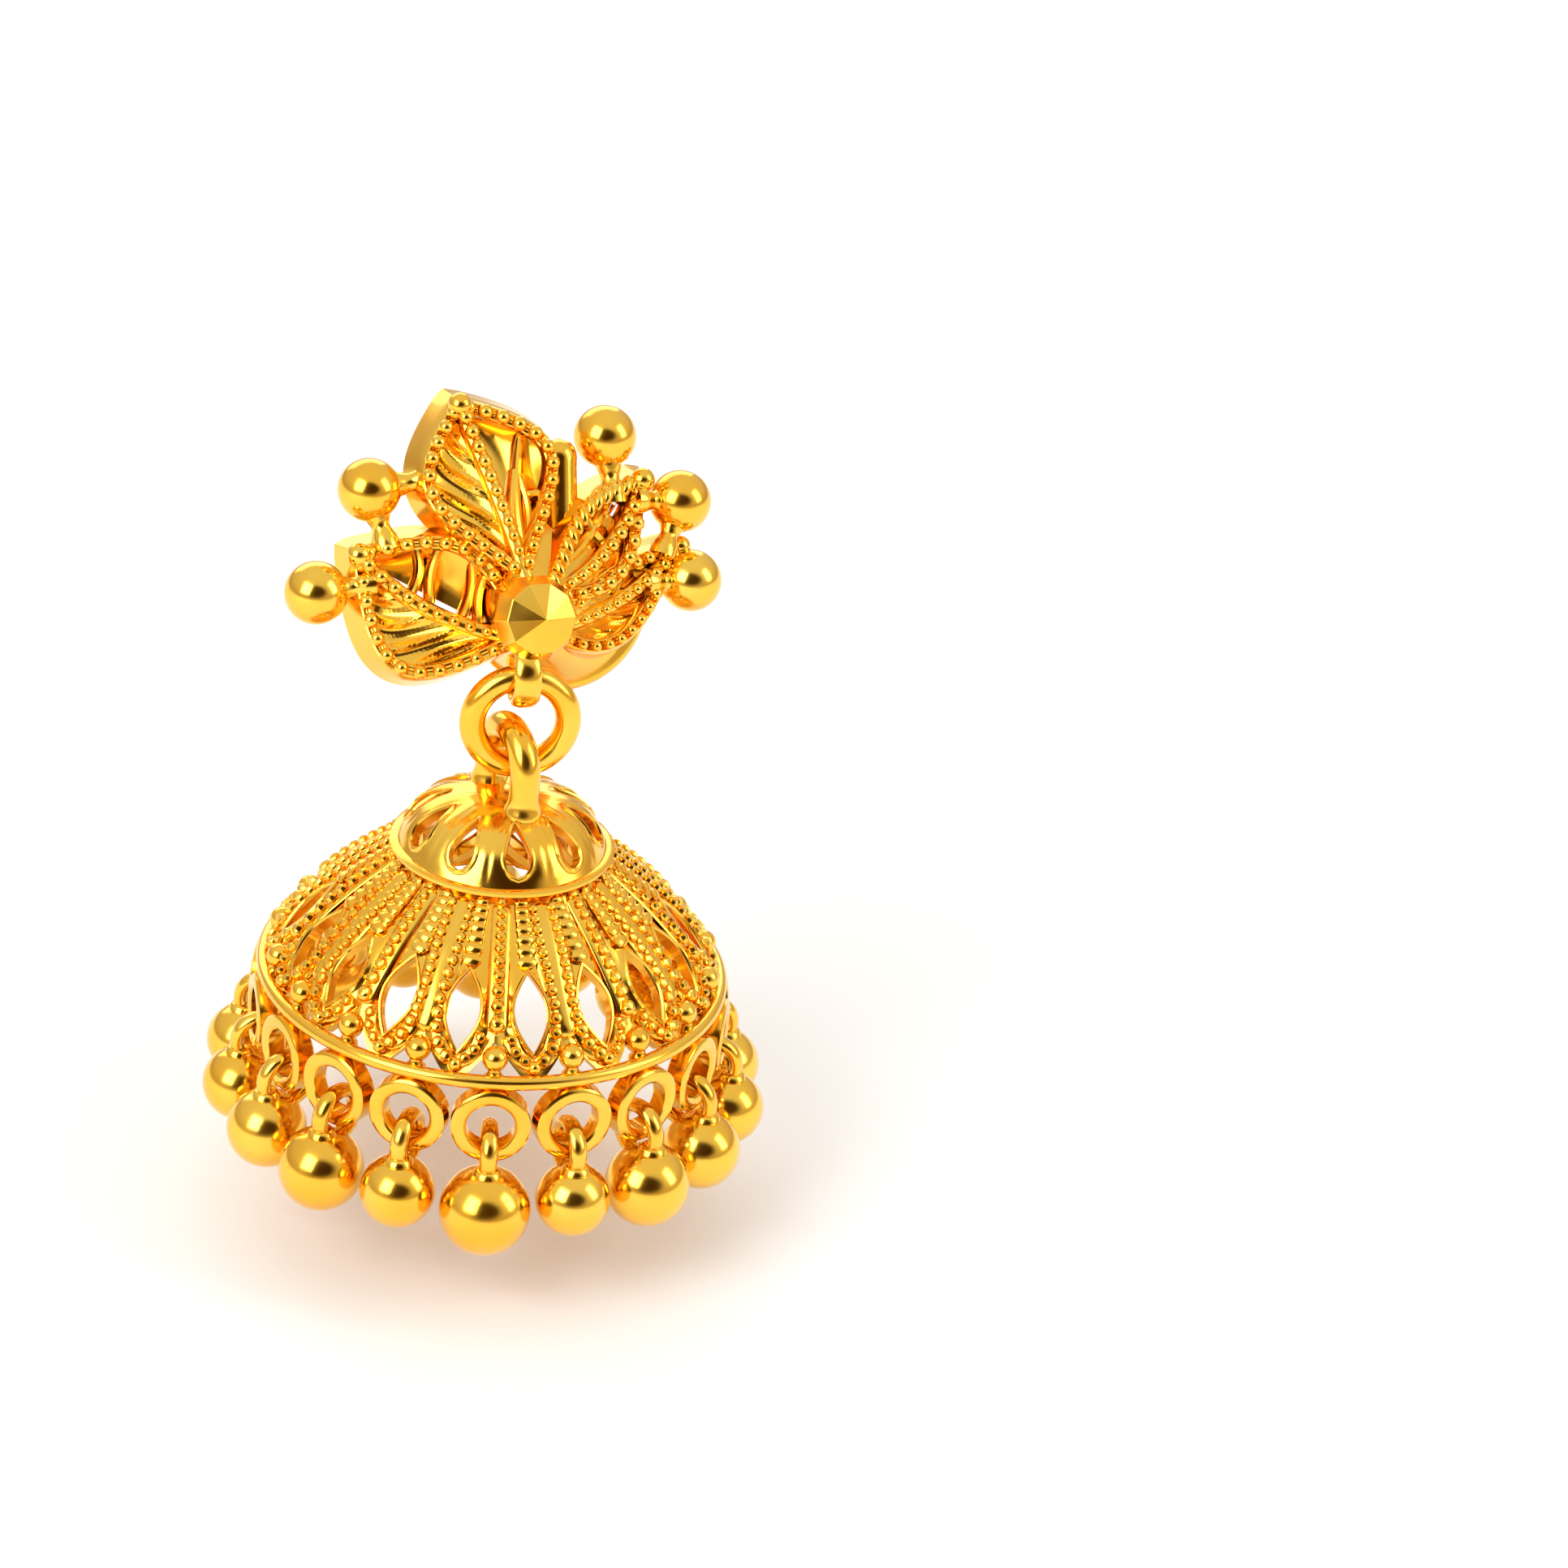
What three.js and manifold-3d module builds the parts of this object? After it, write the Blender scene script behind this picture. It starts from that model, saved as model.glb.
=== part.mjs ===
// A gold bell earring: a leaf flower stud, a jump ring, and a pierced bell with a fringe of ball drops.
// Millimetres, +Z up. The flower faces -Y and leans back. The origin is on the post's axis, at the rear
// face of the flower's backing plate, where the earlobe sits.
import * as THREE from "three";
import { ConvexGeometry } from "three/addons/geometries/ConvexGeometry.js";
import { mergeVertices } from "three/addons/utils/BufferGeometryUtils.js";
import Module from "manifold-3d";

// Flower: the boss stands in front of the plate, to the left of and below the post
const FLOWER_LEAN = 22;
const BOSS_X = -2.3;
const BOSS_Z = -0.6;
const BOSS_DEPTH = 4.2;
const BOSS_RADIUS = 1.77;
const BOSS_HEIGHT = 1.75;
const BOSS_FACETS = 10;
const BOSS_SUNK = 0.8;
const BOSS_FOOT_RADIUS = 1.5;
const BOSS_GIRDLE = 0.35;
const BOSS_SHOULDER = 1.15;
const BOSS_SHOULDER_RADIUS = 1.45;
const HUB_RADIUS = 1.5;
const HUB_BACK = 0.4;
const HUB_INSET = 0.1;
const PLATE_RADIUS = 4.0;
const PLATE_THICKNESS = 0.8;
const HUB_SIDES = 12;
const PLATE_SIDES = 20;
const PLATE_EDGE = 0.2;
const POST_RADIUS = 0.5;
const POST_LENGTH = 8.0;
const POST_SIDES = 12;

// Petals: x and z are measured from the boss in the flower's plane, back is the depth behind its base.
// The midrib bows sideways from the straight line between root and tip. Left and right are the widths of
// the two halves, seen from root to tip, and leftAt and rightAt say how far along each is widest.
const PETALS = [
  { root: [0.0, -0.9], tip: [-6.4, 3.0], rootBack: 0.3, tipBack: 3.2, bow: 0.8,
    left: 2.85, leftAt: 0.52, right: 3.1, rightAt: 0.5, open: "right" },
  { root: [0.15, 0.9], tip: [-1.72, 8.85], rootBack: 0.3, tipBack: 3.3, bow: -0.14,
    left: 2.78, leftAt: 0.59, right: 3.0, rightAt: 0.63, open: "right" },
  { root: [0.25, 0.7], tip: [6.25, 5.35], rootBack: 0.3, tipBack: 3.5, bow: -0.98,
    left: 2.05, leftAt: 0.55, right: 1.28, rightAt: 0.48, open: "left" },
  { root: [0.74, -0.6], tip: [8.0, 2.42], rootBack: 0.3, tipBack: 3.9, bow: -0.61,
    left: 1.38, leftAt: 0.5, right: 1.65, rightAt: 0.36, open: "left" },
];
const PETAL_WALL = 1.5;
const PETAL_FLARE = 0.4;
const PETAL_STEPS = 7;
const PETAL_RIM = 0.5;
const MIDRIB_HALF = 0.4;
const WINDOW_FROM = 0.3;
const WINDOW_TO = 0.86;

// Balls of the flower, with the points on the petals' walls that their stems run to
const FLOWER_BALL_RADIUS = 1.3;
const FLOWER_BALL_BACK = 3.5;
const STEM_RADIUS = 0.5;
const STEM_BACK = 3.0;
const STEM_SIDES = 8;
const FLOWER_BALLS = [
  { at: [-7.95, 1.35], feet: [[-5.6, 1.6]] },
  { at: [-5.5, 5.35], feet: [[-2.9, 5.7], [-5.0, 2.9]] },
  { at: [4.65, 6.95], feet: [[4.7, 4.2]] },
  { at: [7.8, 4.1], feet: [[5.6, 4.3], [6.7, 1.9]] },
  { at: [8.1, 0.8], feet: [[5.9, 0.9]] },
];

// Rounded tab of the backing, which shows between the two upper petals
const TAB_RADIUS = 0.75;
const TAB_TIP = [2.5, 6.3];
const TAB_ROOT = [2.3, 1.6];
const TAB_BACK = 3.1;

// Screw-back disc
const NUT_GAP = 1.8;
const NUT_RADIUS = 3.6;
const NUT_THICKNESS = 1.1;
const NUT_HUB_RADIUS = 1.7;
const NUT_HUB_LENGTH = 1.5;
const NUT_BORE_RADIUS = 0.75;
const NUT_EDGE = 0.35;
const NUT_SIDES = 24;

// Hanging line: heights are below the boss's base centre
const HANG_X = -0.35;
const HANG_Y = -0.45;
const RING_DROP = 4.4;
const RING_RADIUS = 1.965;
const RING_WIRE = 0.535;
const RING_YAW = -10;
const RING_SIDES = 16;
const LOOP_WIRE = 0.3;
const LOOP_RADIUS = 1.2;
const LINK_GAP = 0.15;
const WIRE_SIDES = 6;
const LOOP_SIDES = 14;

// Bail and cap: the bail hangs a little to the left of the jump ring's lowest point
const BAIL_WIRE = 0.62;
const BAIL_INNER = 0.95;
const BAIL_YAW = 8;
const BAIL_FOOT = 1.3;
const BAIL_SLIDE = -0.35;
const BAIL_BENDS = 8;
const BAIL_STEPS = 13;
const CAP_TURN = -9;
const CAP_HEIGHT = 2.35;
const CAP_WALL = 0.45;
const CAP_FLANGE = 4.62;
const CAP_FLANGE_HALF = 0.12;
const CAP_PROFILE = [
  { radius: 1.95, height: 2.2 },
  { radius: 3.3, height: 1.6 },
  { radius: 3.95, height: 0.8 },
  { radius: 4.3, height: CAP_FLANGE_HALF },
];
const CAP_HOLLOW = [
  { radius: 3.8, height: -CAP_FLANGE_HALF },
  { radius: 3.5, height: 0.65 },
  { radius: 2.7, height: 1.35 },
];
const CAP_LOBES = 10;
const CAP_SIDES = 30;
const CAP_LOBE_DEPTH = 0.13;
const CAP_DROP_WIDTH = 1.15;
const CAP_DROP_HEIGHT = 1.65;
const CAP_DROP_LEVEL = 0.4;
const SEAT_GAP = 0.18;

// Bell dome: the profile gives the outer radius at each height above the rim
const PANELS = 18;
const BELL_TURN = -17.4;
const DOME_WALL = 0.5;
const DOME_THINNING = 0.2;
const DOME_HEIGHT = 5.5;
const DOME_SIDES = 36;
const DOME_PROFILE = [
  { radius: 9.3, height: 0 },
  { radius: 8.93, height: 0.65 },
  { radius: 8.0, height: 1.95 },
  { radius: 6.4, height: 3.65 },
  { radius: 4.2, height: DOME_HEIGHT },
];
const WINDOW_WIDTH = 1.6;
const WINDOW_LOW = 0.85;
const WINDOW_HIGH = 3.6;
const ARCH_WIDTH = 2.3;
const ARCH_LOW = 0.25;
const ARCH_HIGH = 1.45;
const RIM_RADIUS = 9.5;
const RIM_WIRE = 0.3;
const RIM_WIRE_SIDES = 5;

// Fringe rings and ball drops, in step with the panels
const FRINGE_DROP = 1.85;
const FRINGE_OUTER = 1.6;
const FRINGE_INNER = 1.0;
const FRINGE_THICKNESS = 0.8;
const FRINGE_SIDES = 10;
const DROP_CIRCLE = 10.3;
const DROP_LOOP_RADIUS = 1.05;
const DROP_LOOP_WIRE = 0.3;
const DROP_TOP = 0.15;
const DROP_RADII = [1.85, 1.52, 1.75, 1.65, 1.58];
const BALL_SIDES = 10;
const BALL_RINGS = 7;
const DROP_LOOP_SIDES = 10;
const DROP_WIRE_SIDES = 5;

const GOLD = { color: 0xf2b632, roughness: 0.16, metalness: 1.0 };
const MERGE_TOLERANCE = 1e-4;
const CUT_DEPTH = 12;
const CUT_START = 1.2;
const OUTLINE_BENDS = 4;

const wasm = await Module();
wasm.setup();
const degrees = THREE.MathUtils.degToRad;

// Booleans

// A closed geometry as a solid. Shared vertices are merged, and faces that point inwards are turned round.
function solid(geometry) {
  const bare = geometry.clone();
  bare.deleteAttribute("normal");
  bare.deleteAttribute("uv");
  const merged = mergeVertices(bare, MERGE_TOLERANCE);
  const points = merged.attributes.position.array;
  const corners = Uint32Array.from(merged.index.array);
  if (signedVolume(points, corners) < 0) {
    corners.reverse();
  }
  return new wasm.Manifold(new wasm.Mesh({ numProp: 3, vertProperties: points, triVerts: corners }));
}

function signedVolume(points, corners) {
  const a = new THREE.Vector3();
  const b = new THREE.Vector3();
  const c = new THREE.Vector3();
  let six = 0;
  for (let i = 0; i < corners.length; i += 3) {
    a.fromArray(points, 3 * corners[i]);
    b.fromArray(points, 3 * corners[i + 1]);
    c.fromArray(points, 3 * corners[i + 2]);
    six += a.dot(b.cross(c));
  }
  return six;
}

function join(geometries) {
  return geometries.map(solid).reduce((whole, next) => whole.add(next));
}

function geometryOf(body) {
  const mesh = body.getMesh();
  const geometry = new THREE.BufferGeometry();
  geometry.setAttribute("position", new THREE.BufferAttribute(mesh.vertProperties, 3));
  geometry.setIndex(new THREE.BufferAttribute(mesh.triVerts, 1));
  geometry.computeVertexNormals();
  return geometry;
}

function goldMesh(name, geometry) {
  const mesh = new THREE.Mesh(geometry, new THREE.MeshStandardMaterial(GOLD));
  mesh.name = name;
  return mesh;
}

// Shared shapes

// A wire ring around the Y axis
function wireRing(radius, wire, sides, wireSides) {
  return new THREE.TorusGeometry(radius, wire, wireSides, sides).rotateX(Math.PI / 2);
}

// A body turned about the Y axis from rows of radius and place along it
function turned(rows, sides) {
  const profile = rows.map(([radius, along]) => new THREE.Vector2(radius, along));
  return new THREE.LatheGeometry(profile, sides);
}

// A round bar between two points
function bar(from, to, radius, sides) {
  const start = new THREE.Vector3(...from);
  const end = new THREE.Vector3(...to);
  const along = end.clone().sub(start);
  const geometry = new THREE.CylinderGeometry(radius, radius, along.length(), sides);
  const turn = new THREE.Quaternion().setFromUnitVectors(new THREE.Vector3(0, 1, 0), along.normalize());
  const middle = start.add(end).multiplyScalar(0.5);
  return geometry.applyQuaternion(turn).translate(middle.x, middle.y, middle.z);
}

// A flat outline drawn in X and Z and carried through along Y
function cutter(points) {
  const outline = new THREE.Shape(points.map(([x, z]) => new THREE.Vector2(x, z)));
  const geometry = new THREE.ExtrudeGeometry(outline, { depth: CUT_DEPTH, bevelEnabled: false, steps: 1 });
  return geometry.rotateX(Math.PI / 2).translate(0, CUT_DEPTH / 2, 0);
}

// Flower, in its own upright frame: x to the right, z up, y to the back, the post on the Y axis

function flowerPoint(x, z, back) {
  return [BOSS_X + x, back - BOSS_DEPTH, BOSS_Z + z];
}

// A point of the petal's midrib: a parabola that bows out from the line between root and tip
function midrib(petal, t) {
  const alongX = petal.tip[0] - petal.root[0];
  const alongZ = petal.tip[1] - petal.root[1];
  const length = Math.hypot(alongX, alongZ);
  const side = [-alongZ / length, alongX / length];
  const bow = 4 * petal.bow * t * (1 - t);
  return {
    x: petal.root[0] + alongX * t + side[0] * bow,
    z: petal.root[1] + alongZ * t + side[1] * bow,
    side,
  };
}

// Half-width of a leaf: a sine arch whose crest is moved along to the given place
function leafWidth(width, crest, t) {
  return width * Math.sin(Math.PI * t ** (Math.log(0.5) / Math.log(crest)));
}

// A point beside the midrib, at a distance that is positive to the left
function besideMidrib(petal, t, distance) {
  const rib = midrib(petal, t);
  return [rib.x + rib.side[0] * distance, rib.z + rib.side[1] * distance];
}

function petalBack(petal, t) {
  return petal.rootBack + (petal.tipBack - petal.rootBack) * t;
}

// The leaf's raised body: the hull of its front outline and of a wider outline behind it
function petalBody(petal) {
  const points = [];
  for (let step = 0; step <= PETAL_STEPS; step += 1) {
    const t = step / PETAL_STEPS;
    const left = leafWidth(petal.left, petal.leftAt, t);
    const right = leafWidth(petal.right, petal.rightAt, t);
    for (const [distance, depth] of [
      [left, 0],
      [-right, 0],
      [left + PETAL_FLARE, PETAL_WALL],
      [-right - PETAL_FLARE, PETAL_WALL],
    ]) {
      const [x, z] = besideMidrib(petal, t, distance);
      points.push(new THREE.Vector3(...flowerPoint(x, z, petalBack(petal, t) + depth)));
    }
  }
  return new ConvexGeometry(points);
}

// The open half of a petal, between the midrib and the beaded border
function petalWindow(petal) {
  const sign = petal.open === "left" ? 1 : -1;
  const width = petal.open === "left" ? petal.left : petal.right;
  const crest = petal.open === "left" ? petal.leftAt : petal.rightAt;
  const rib = [];
  const border = [];
  for (let step = 0; step <= PETAL_STEPS; step += 1) {
    const t = WINDOW_FROM + ((WINDOW_TO - WINDOW_FROM) * step) / PETAL_STEPS;
    const outer = Math.max(leafWidth(width, crest, t) - PETAL_RIM, MIDRIB_HALF);
    rib.push(besideMidrib(petal, t, sign * MIDRIB_HALF));
    if (outer > MIDRIB_HALF) {
      border.push(besideMidrib(petal, t, sign * outer));
    }
  }
  const outline = rib.concat(border.reverse());
  return cutter(outline.map(([x, z]) => [BOSS_X + x, BOSS_Z + z]));
}

function boss() {
  const rows = [
    [0, -BOSS_SUNK],
    [BOSS_FOOT_RADIUS, -BOSS_SUNK],
    [BOSS_RADIUS, BOSS_GIRDLE],
    [BOSS_SHOULDER_RADIUS, BOSS_SHOULDER],
    [0, BOSS_HEIGHT],
  ];
  return turned(rows, BOSS_FACETS).rotateX(Math.PI / 2).translate(...flowerPoint(0, 0, 0));
}

// The body between boss and plate: the hull of a small ring behind the boss and a large one at the plate
function hub() {
  const points = [];
  const foot = PLATE_RADIUS - HUB_INSET;
  for (let side = 0; side < HUB_SIDES; side += 1) {
    const angle = (2 * Math.PI * side) / HUB_SIDES;
    const across = Math.cos(angle);
    const up = Math.sin(angle);
    points.push(new THREE.Vector3(...flowerPoint(HUB_RADIUS * across, HUB_RADIUS * up, HUB_BACK)));
    points.push(new THREE.Vector3(foot * across, -PLATE_THICKNESS / 2, foot * up));
  }
  return new ConvexGeometry(points);
}

function plate() {
  const rows = [
    [0, -PLATE_THICKNESS],
    [PLATE_RADIUS - PLATE_EDGE, -PLATE_THICKNESS],
    [PLATE_RADIUS, PLATE_EDGE - PLATE_THICKNESS],
    [PLATE_RADIUS, -PLATE_EDGE],
    [PLATE_RADIUS - PLATE_EDGE, 0],
    [0, 0],
  ];
  return turned(rows, PLATE_SIDES);
}

function flowerBall(ball) {
  const [x, z] = ball.at;
  const centre = flowerPoint(x, z, FLOWER_BALL_BACK);
  const sphere = new THREE.SphereGeometry(FLOWER_BALL_RADIUS, BALL_SIDES, BALL_RINGS).translate(...centre);
  const stems = ball.feet.map(([footX, footZ]) => {
    const foot = flowerPoint(footX, footZ, STEM_BACK);
    return bar(centre, foot, STEM_RADIUS, STEM_SIDES);
  });
  return [sphere, ...stems];
}

function backingTab() {
  const from = flowerPoint(...TAB_ROOT, TAB_BACK);
  const to = flowerPoint(...TAB_TIP, TAB_BACK);
  const end = new THREE.SphereGeometry(TAB_RADIUS, BALL_SIDES, BALL_RINGS).translate(...to);
  return [bar(from, to, TAB_RADIUS, BALL_SIDES), end];
}

// The hanging loop stands plumb under the leaning boss, so it is turned back by the lean
function hangingLoop() {
  const loop = wireRing(LOOP_RADIUS, LOOP_WIRE, LOOP_SIDES, WIRE_SIDES);
  loop.rotateZ(Math.PI / 2 + degrees(RING_YAW));
  loop.translate(HANG_X, HANG_Y, loopBottom() + LOOP_RADIUS);
  return loop.rotateX(degrees(FLOWER_LEAN)).translate(...flowerPoint(0, 0, 0));
}

// Height of the loop's lowest wire, inside the top of the jump ring and clear of it
function loopBottom() {
  return -RING_DROP + RING_RADIUS - RING_WIRE - LINK_GAP - LOOP_WIRE;
}

function flowerTop() {
  const solids = [boss(), hub(), plate(), hangingLoop(), ...backingTab()];
  solids.push(bar([0, -PLATE_THICKNESS / 2, 0], [0, POST_LENGTH, 0], POST_RADIUS, POST_SIDES));
  solids.push(...FLOWER_BALLS.flatMap(flowerBall));
  const petals = PETALS.map((petal) => solid(petalBody(petal)).subtract(solid(petalWindow(petal))));
  const body = petals.reduce((whole, next) => whole.add(next), join(solids));
  return goldMesh("flower_top", geometryOf(body));
}

function earNut() {
  const front = NUT_GAP;
  const back = front + NUT_THICKNESS;
  const rows = [
    [NUT_BORE_RADIUS, front],
    [NUT_RADIUS - NUT_EDGE, front],
    [NUT_RADIUS, front + NUT_EDGE],
    [NUT_RADIUS, back - NUT_EDGE],
    [NUT_RADIUS - NUT_EDGE, back],
    [NUT_HUB_RADIUS, back],
    [NUT_HUB_RADIUS, back + NUT_HUB_LENGTH],
    [NUT_BORE_RADIUS, back + NUT_HUB_LENGTH],
    [NUT_BORE_RADIUS, front],
  ];
  return goldMesh("ear_nut", geometryOf(solid(turned(rows, NUT_SIDES))));
}

// Hanging pieces, in a frame at the boss's base centre with the hanging line as its Z axis

function jumpRing() {
  const mesh = goldMesh("jump_ring", wireRing(RING_RADIUS, RING_WIRE, RING_SIDES, WIRE_SIDES));
  mesh.position.z = -RING_DROP;
  mesh.rotation.z = degrees(RING_YAW);
  return mesh;
}

const BAIL_PIVOT = -RING_DROP - Math.sqrt(RING_RADIUS ** 2 - BAIL_SLIDE ** 2);
const BAIL_RADIUS = BAIL_INNER + BAIL_WIRE;
const CAP_TOP = BAIL_PIVOT - BAIL_FOOT;
const CAP_RIM = CAP_TOP - CAP_HEIGHT;
const CAP_RIM_ABOVE = DOME_HEIGHT + SEAT_GAP + CAP_FLANGE_HALF;
const DOME_RIM = CAP_RIM - CAP_RIM_ABOVE;
const FRINGE_CENTRE = DOME_RIM - FRINGE_DROP;

// A U of wire: two straight legs and a half-round arch that stays level with the jump ring's lowest wire
function bail() {
  const foot = CAP_TOP - CAP_WALL / 2;
  const points = [new THREE.Vector3(0, -BAIL_RADIUS, foot)];
  for (let bend = 0; bend <= BAIL_BENDS; bend += 1) {
    const angle = (Math.PI * bend) / BAIL_BENDS;
    const y = -BAIL_RADIUS * Math.cos(angle);
    points.push(new THREE.Vector3(0, y, BAIL_PIVOT + BAIL_RADIUS * Math.sin(angle)));
  }
  points.push(new THREE.Vector3(0, BAIL_RADIUS, foot));
  const section = new THREE.Shape();
  section.absarc(0, 0, BAIL_WIRE, 0, 2 * Math.PI);
  const path = new THREE.CatmullRomCurve3(points, false, "centripetal");
  const curveSegments = WIRE_SIDES / 2;
  const options = { steps: BAIL_STEPS, curveSegments, bevelEnabled: false, extrudePath: path };
  return new THREE.ExtrudeGeometry(section, options).rotateZ(degrees(BAIL_YAW));
}

// The cap's shell, its slope swelling into lobes between the piercings
function capShell() {
  const rows = [
    [0, CAP_HEIGHT],
    ...CAP_PROFILE.map(({ radius, height }) => [radius, height]),
    [CAP_FLANGE, CAP_FLANGE_HALF],
    [CAP_FLANGE, -CAP_FLANGE_HALF],
    ...CAP_HOLLOW.map(({ radius, height }) => [radius, height]),
    [0, CAP_HEIGHT - CAP_WALL],
  ];
  const shell = turned(rows.reverse(), CAP_SIDES);
  return swollenLobes(shell).rotateX(Math.PI / 2).translate(0, 0, CAP_RIM);
}

// Moves each point out or in by a cosine of its angle, most at half height and not at all at top and rim
function swollenLobes(shell) {
  const place = shell.attributes.position;
  for (let i = 0; i < place.count; i += 1) {
    const x = place.getX(i);
    const z = place.getZ(i);
    const share = THREE.MathUtils.clamp(place.getY(i) / CAP_HEIGHT, 0, 1);
    const wave = -Math.cos(CAP_LOBES * Math.atan2(x, z)) * Math.sin(Math.PI * share) * CAP_LOBE_DEPTH;
    const radius = Math.hypot(x, z);
    const scale = radius > 0 ? 1 + wave / radius : 1;
    place.setX(i, x * scale);
    place.setZ(i, z * scale);
  }
  return shell;
}

// A drop outline: a half-round foot under two straight sides that meet in a point
function dropOutline(width, height, level) {
  const radius = width / 2;
  const points = [[0, level + height]];
  for (let bend = 0; bend <= OUTLINE_BENDS; bend += 1) {
    const angle = Math.PI + (Math.PI * bend) / OUTLINE_BENDS;
    points.push([radius * Math.cos(angle), level + radius + radius * Math.sin(angle)]);
  }
  return points;
}

// A pointed oval: each side is a sine arch
function ovalOutline(width, low, high) {
  const right = [];
  const left = [];
  for (let bend = 0; bend <= OUTLINE_BENDS; bend += 1) {
    const t = bend / OUTLINE_BENDS;
    const half = (width / 2) * Math.sin(Math.PI * t);
    right.push([half, low + (high - low) * t]);
    left.push([-half, low + (high - low) * t]);
  }
  return right.concat(left.slice(1, -1).reverse());
}

// One cutter in front of the hanging line, turned to a place round the bell
function frontCutter(points, angle) {
  return cutter(points).translate(0, -CUT_DEPTH / 2 - CUT_START, 0).rotateZ(degrees(angle));
}

function bellCap() {
  const cuts = [];
  for (let lobe = 0; lobe < CAP_LOBES; lobe += 1) {
    const drop = dropOutline(CAP_DROP_WIDTH, CAP_DROP_HEIGHT, CAP_RIM + CAP_DROP_LEVEL);
    cuts.push(frontCutter(drop, CAP_TURN + (360 * lobe) / CAP_LOBES));
  }
  const shell = solid(capShell().rotateZ(degrees(CAP_TURN))).subtract(join(cuts));
  return goldMesh("bell_cap", geometryOf(shell.add(solid(bail()))));
}

function domeShell() {
  const outer = DOME_PROFILE.map(({ radius, height }) => [radius, height]);
  const inner = DOME_PROFILE.map(({ radius, height }) => {
    const share = height / CAP_RIM_ABOVE;
    return [radius - DOME_WALL + DOME_THINNING * share, height - DOME_WALL * share];
  });
  const rows = outer.concat(inner.reverse(), [outer[0]]);
  return turned(rows, DOME_SIDES).rotateX(Math.PI / 2).translate(0, 0, DOME_RIM);
}

function fringeRing(angle) {
  const half = FRINGE_THICKNESS / 2;
  const rows = [
    [FRINGE_INNER, -half],
    [FRINGE_OUTER, -half],
    [FRINGE_OUTER, half],
    [FRINGE_INNER, half],
    [FRINGE_INNER, -half],
  ];
  return turned(rows, FRINGE_SIDES).translate(0, -RIM_RADIUS, FRINGE_CENTRE).rotateZ(degrees(angle));
}

function bellDome() {
  const cuts = [];
  const fringe = [];
  const pitch = 360 / PANELS;
  const window = ovalOutline(WINDOW_WIDTH, DOME_RIM + WINDOW_LOW, DOME_RIM + WINDOW_HIGH);
  const arch = [
    [0, DOME_RIM + ARCH_HIGH],
    [-ARCH_WIDTH / 2, DOME_RIM + ARCH_LOW],
    [ARCH_WIDTH / 2, DOME_RIM + ARCH_LOW],
  ];
  for (let panel = 0; panel < PANELS; panel += 1) {
    const angle = BELL_TURN + panel * pitch;
    cuts.push(frontCutter(window, angle + pitch / 2));
    cuts.push(frontCutter(arch, angle));
    fringe.push(fringeRing(angle));
  }
  const rim = new THREE.TorusGeometry(RIM_RADIUS, RIM_WIRE, RIM_WIRE_SIDES, DOME_SIDES);
  rim.rotateZ(degrees(BELL_TURN)).translate(0, 0, DOME_RIM);
  const shell = solid(domeShell().rotateZ(degrees(BELL_TURN))).subtract(join(cuts));
  return goldMesh("bell_dome", geometryOf(shell.add(join([rim, ...fringe]))));
}

// A ball with its wire loop round the lowest part of a fringe ring
function beadDrop(index) {
  const fromFront = Math.min(index, PANELS - index);
  const step = Math.min(fromFront, PANELS / 2 - fromFront);
  const radius = DROP_RADII[step];
  const bottomBar = FRINGE_CENTRE - (FRINGE_OUTER + FRINGE_INNER) / 2;
  const top = FRINGE_CENTRE - FRINGE_OUTER - DROP_TOP;
  const loop = wireRing(DROP_LOOP_RADIUS, DROP_LOOP_WIRE, DROP_LOOP_SIDES, DROP_WIRE_SIDES);
  loop.rotateZ(Math.PI / 2).translate(0, -RIM_RADIUS, bottomBar);
  const ball = new THREE.SphereGeometry(radius, BALL_SIDES, BALL_RINGS);
  ball.rotateX(Math.PI / 2).translate(0, -DROP_CIRCLE, top - radius);
  const name = `bead_drop_${String(index + 1).padStart(2, "0")}`;
  const mesh = goldMesh(name, geometryOf(join([loop, ball])));
  mesh.rotation.z = degrees(BELL_TURN + (360 * index) / PANELS);
  return mesh;
}

const earring = new THREE.Group();
const flower = new THREE.Group();
flower.rotation.x = -degrees(FLOWER_LEAN);
flower.add(flowerTop(), earNut());
earring.add(flower);

const bossBase = new THREE.Vector3(...flowerPoint(0, 0, 0)).applyEuler(flower.rotation);
const hanging = new THREE.Group();
hanging.position.set(bossBase.x + HANG_X, bossBase.y + HANG_Y, bossBase.z);
hanging.add(jumpRing());
earring.add(hanging);

const bell = new THREE.Group();
const ringPlane = degrees(RING_YAW);
bell.position.set(BAIL_SLIDE * Math.cos(ringPlane), BAIL_SLIDE * Math.sin(ringPlane), 0);
bell.add(bellCap(), bellDome());
for (let index = 0; index < PANELS; index += 1) {
  bell.add(beadDrop(index));
}
hanging.add(bell);

export default earring;
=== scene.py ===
# Gold bell earring: a leaf flower stud, a jump ring and a pierced bell with a fringe of ball drops
import math

import bpy
import numpy as np
from bpy.props import FloatProperty, FloatVectorProperty, IntProperty, PointerProperty
from mathutils import Matrix, Vector


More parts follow.
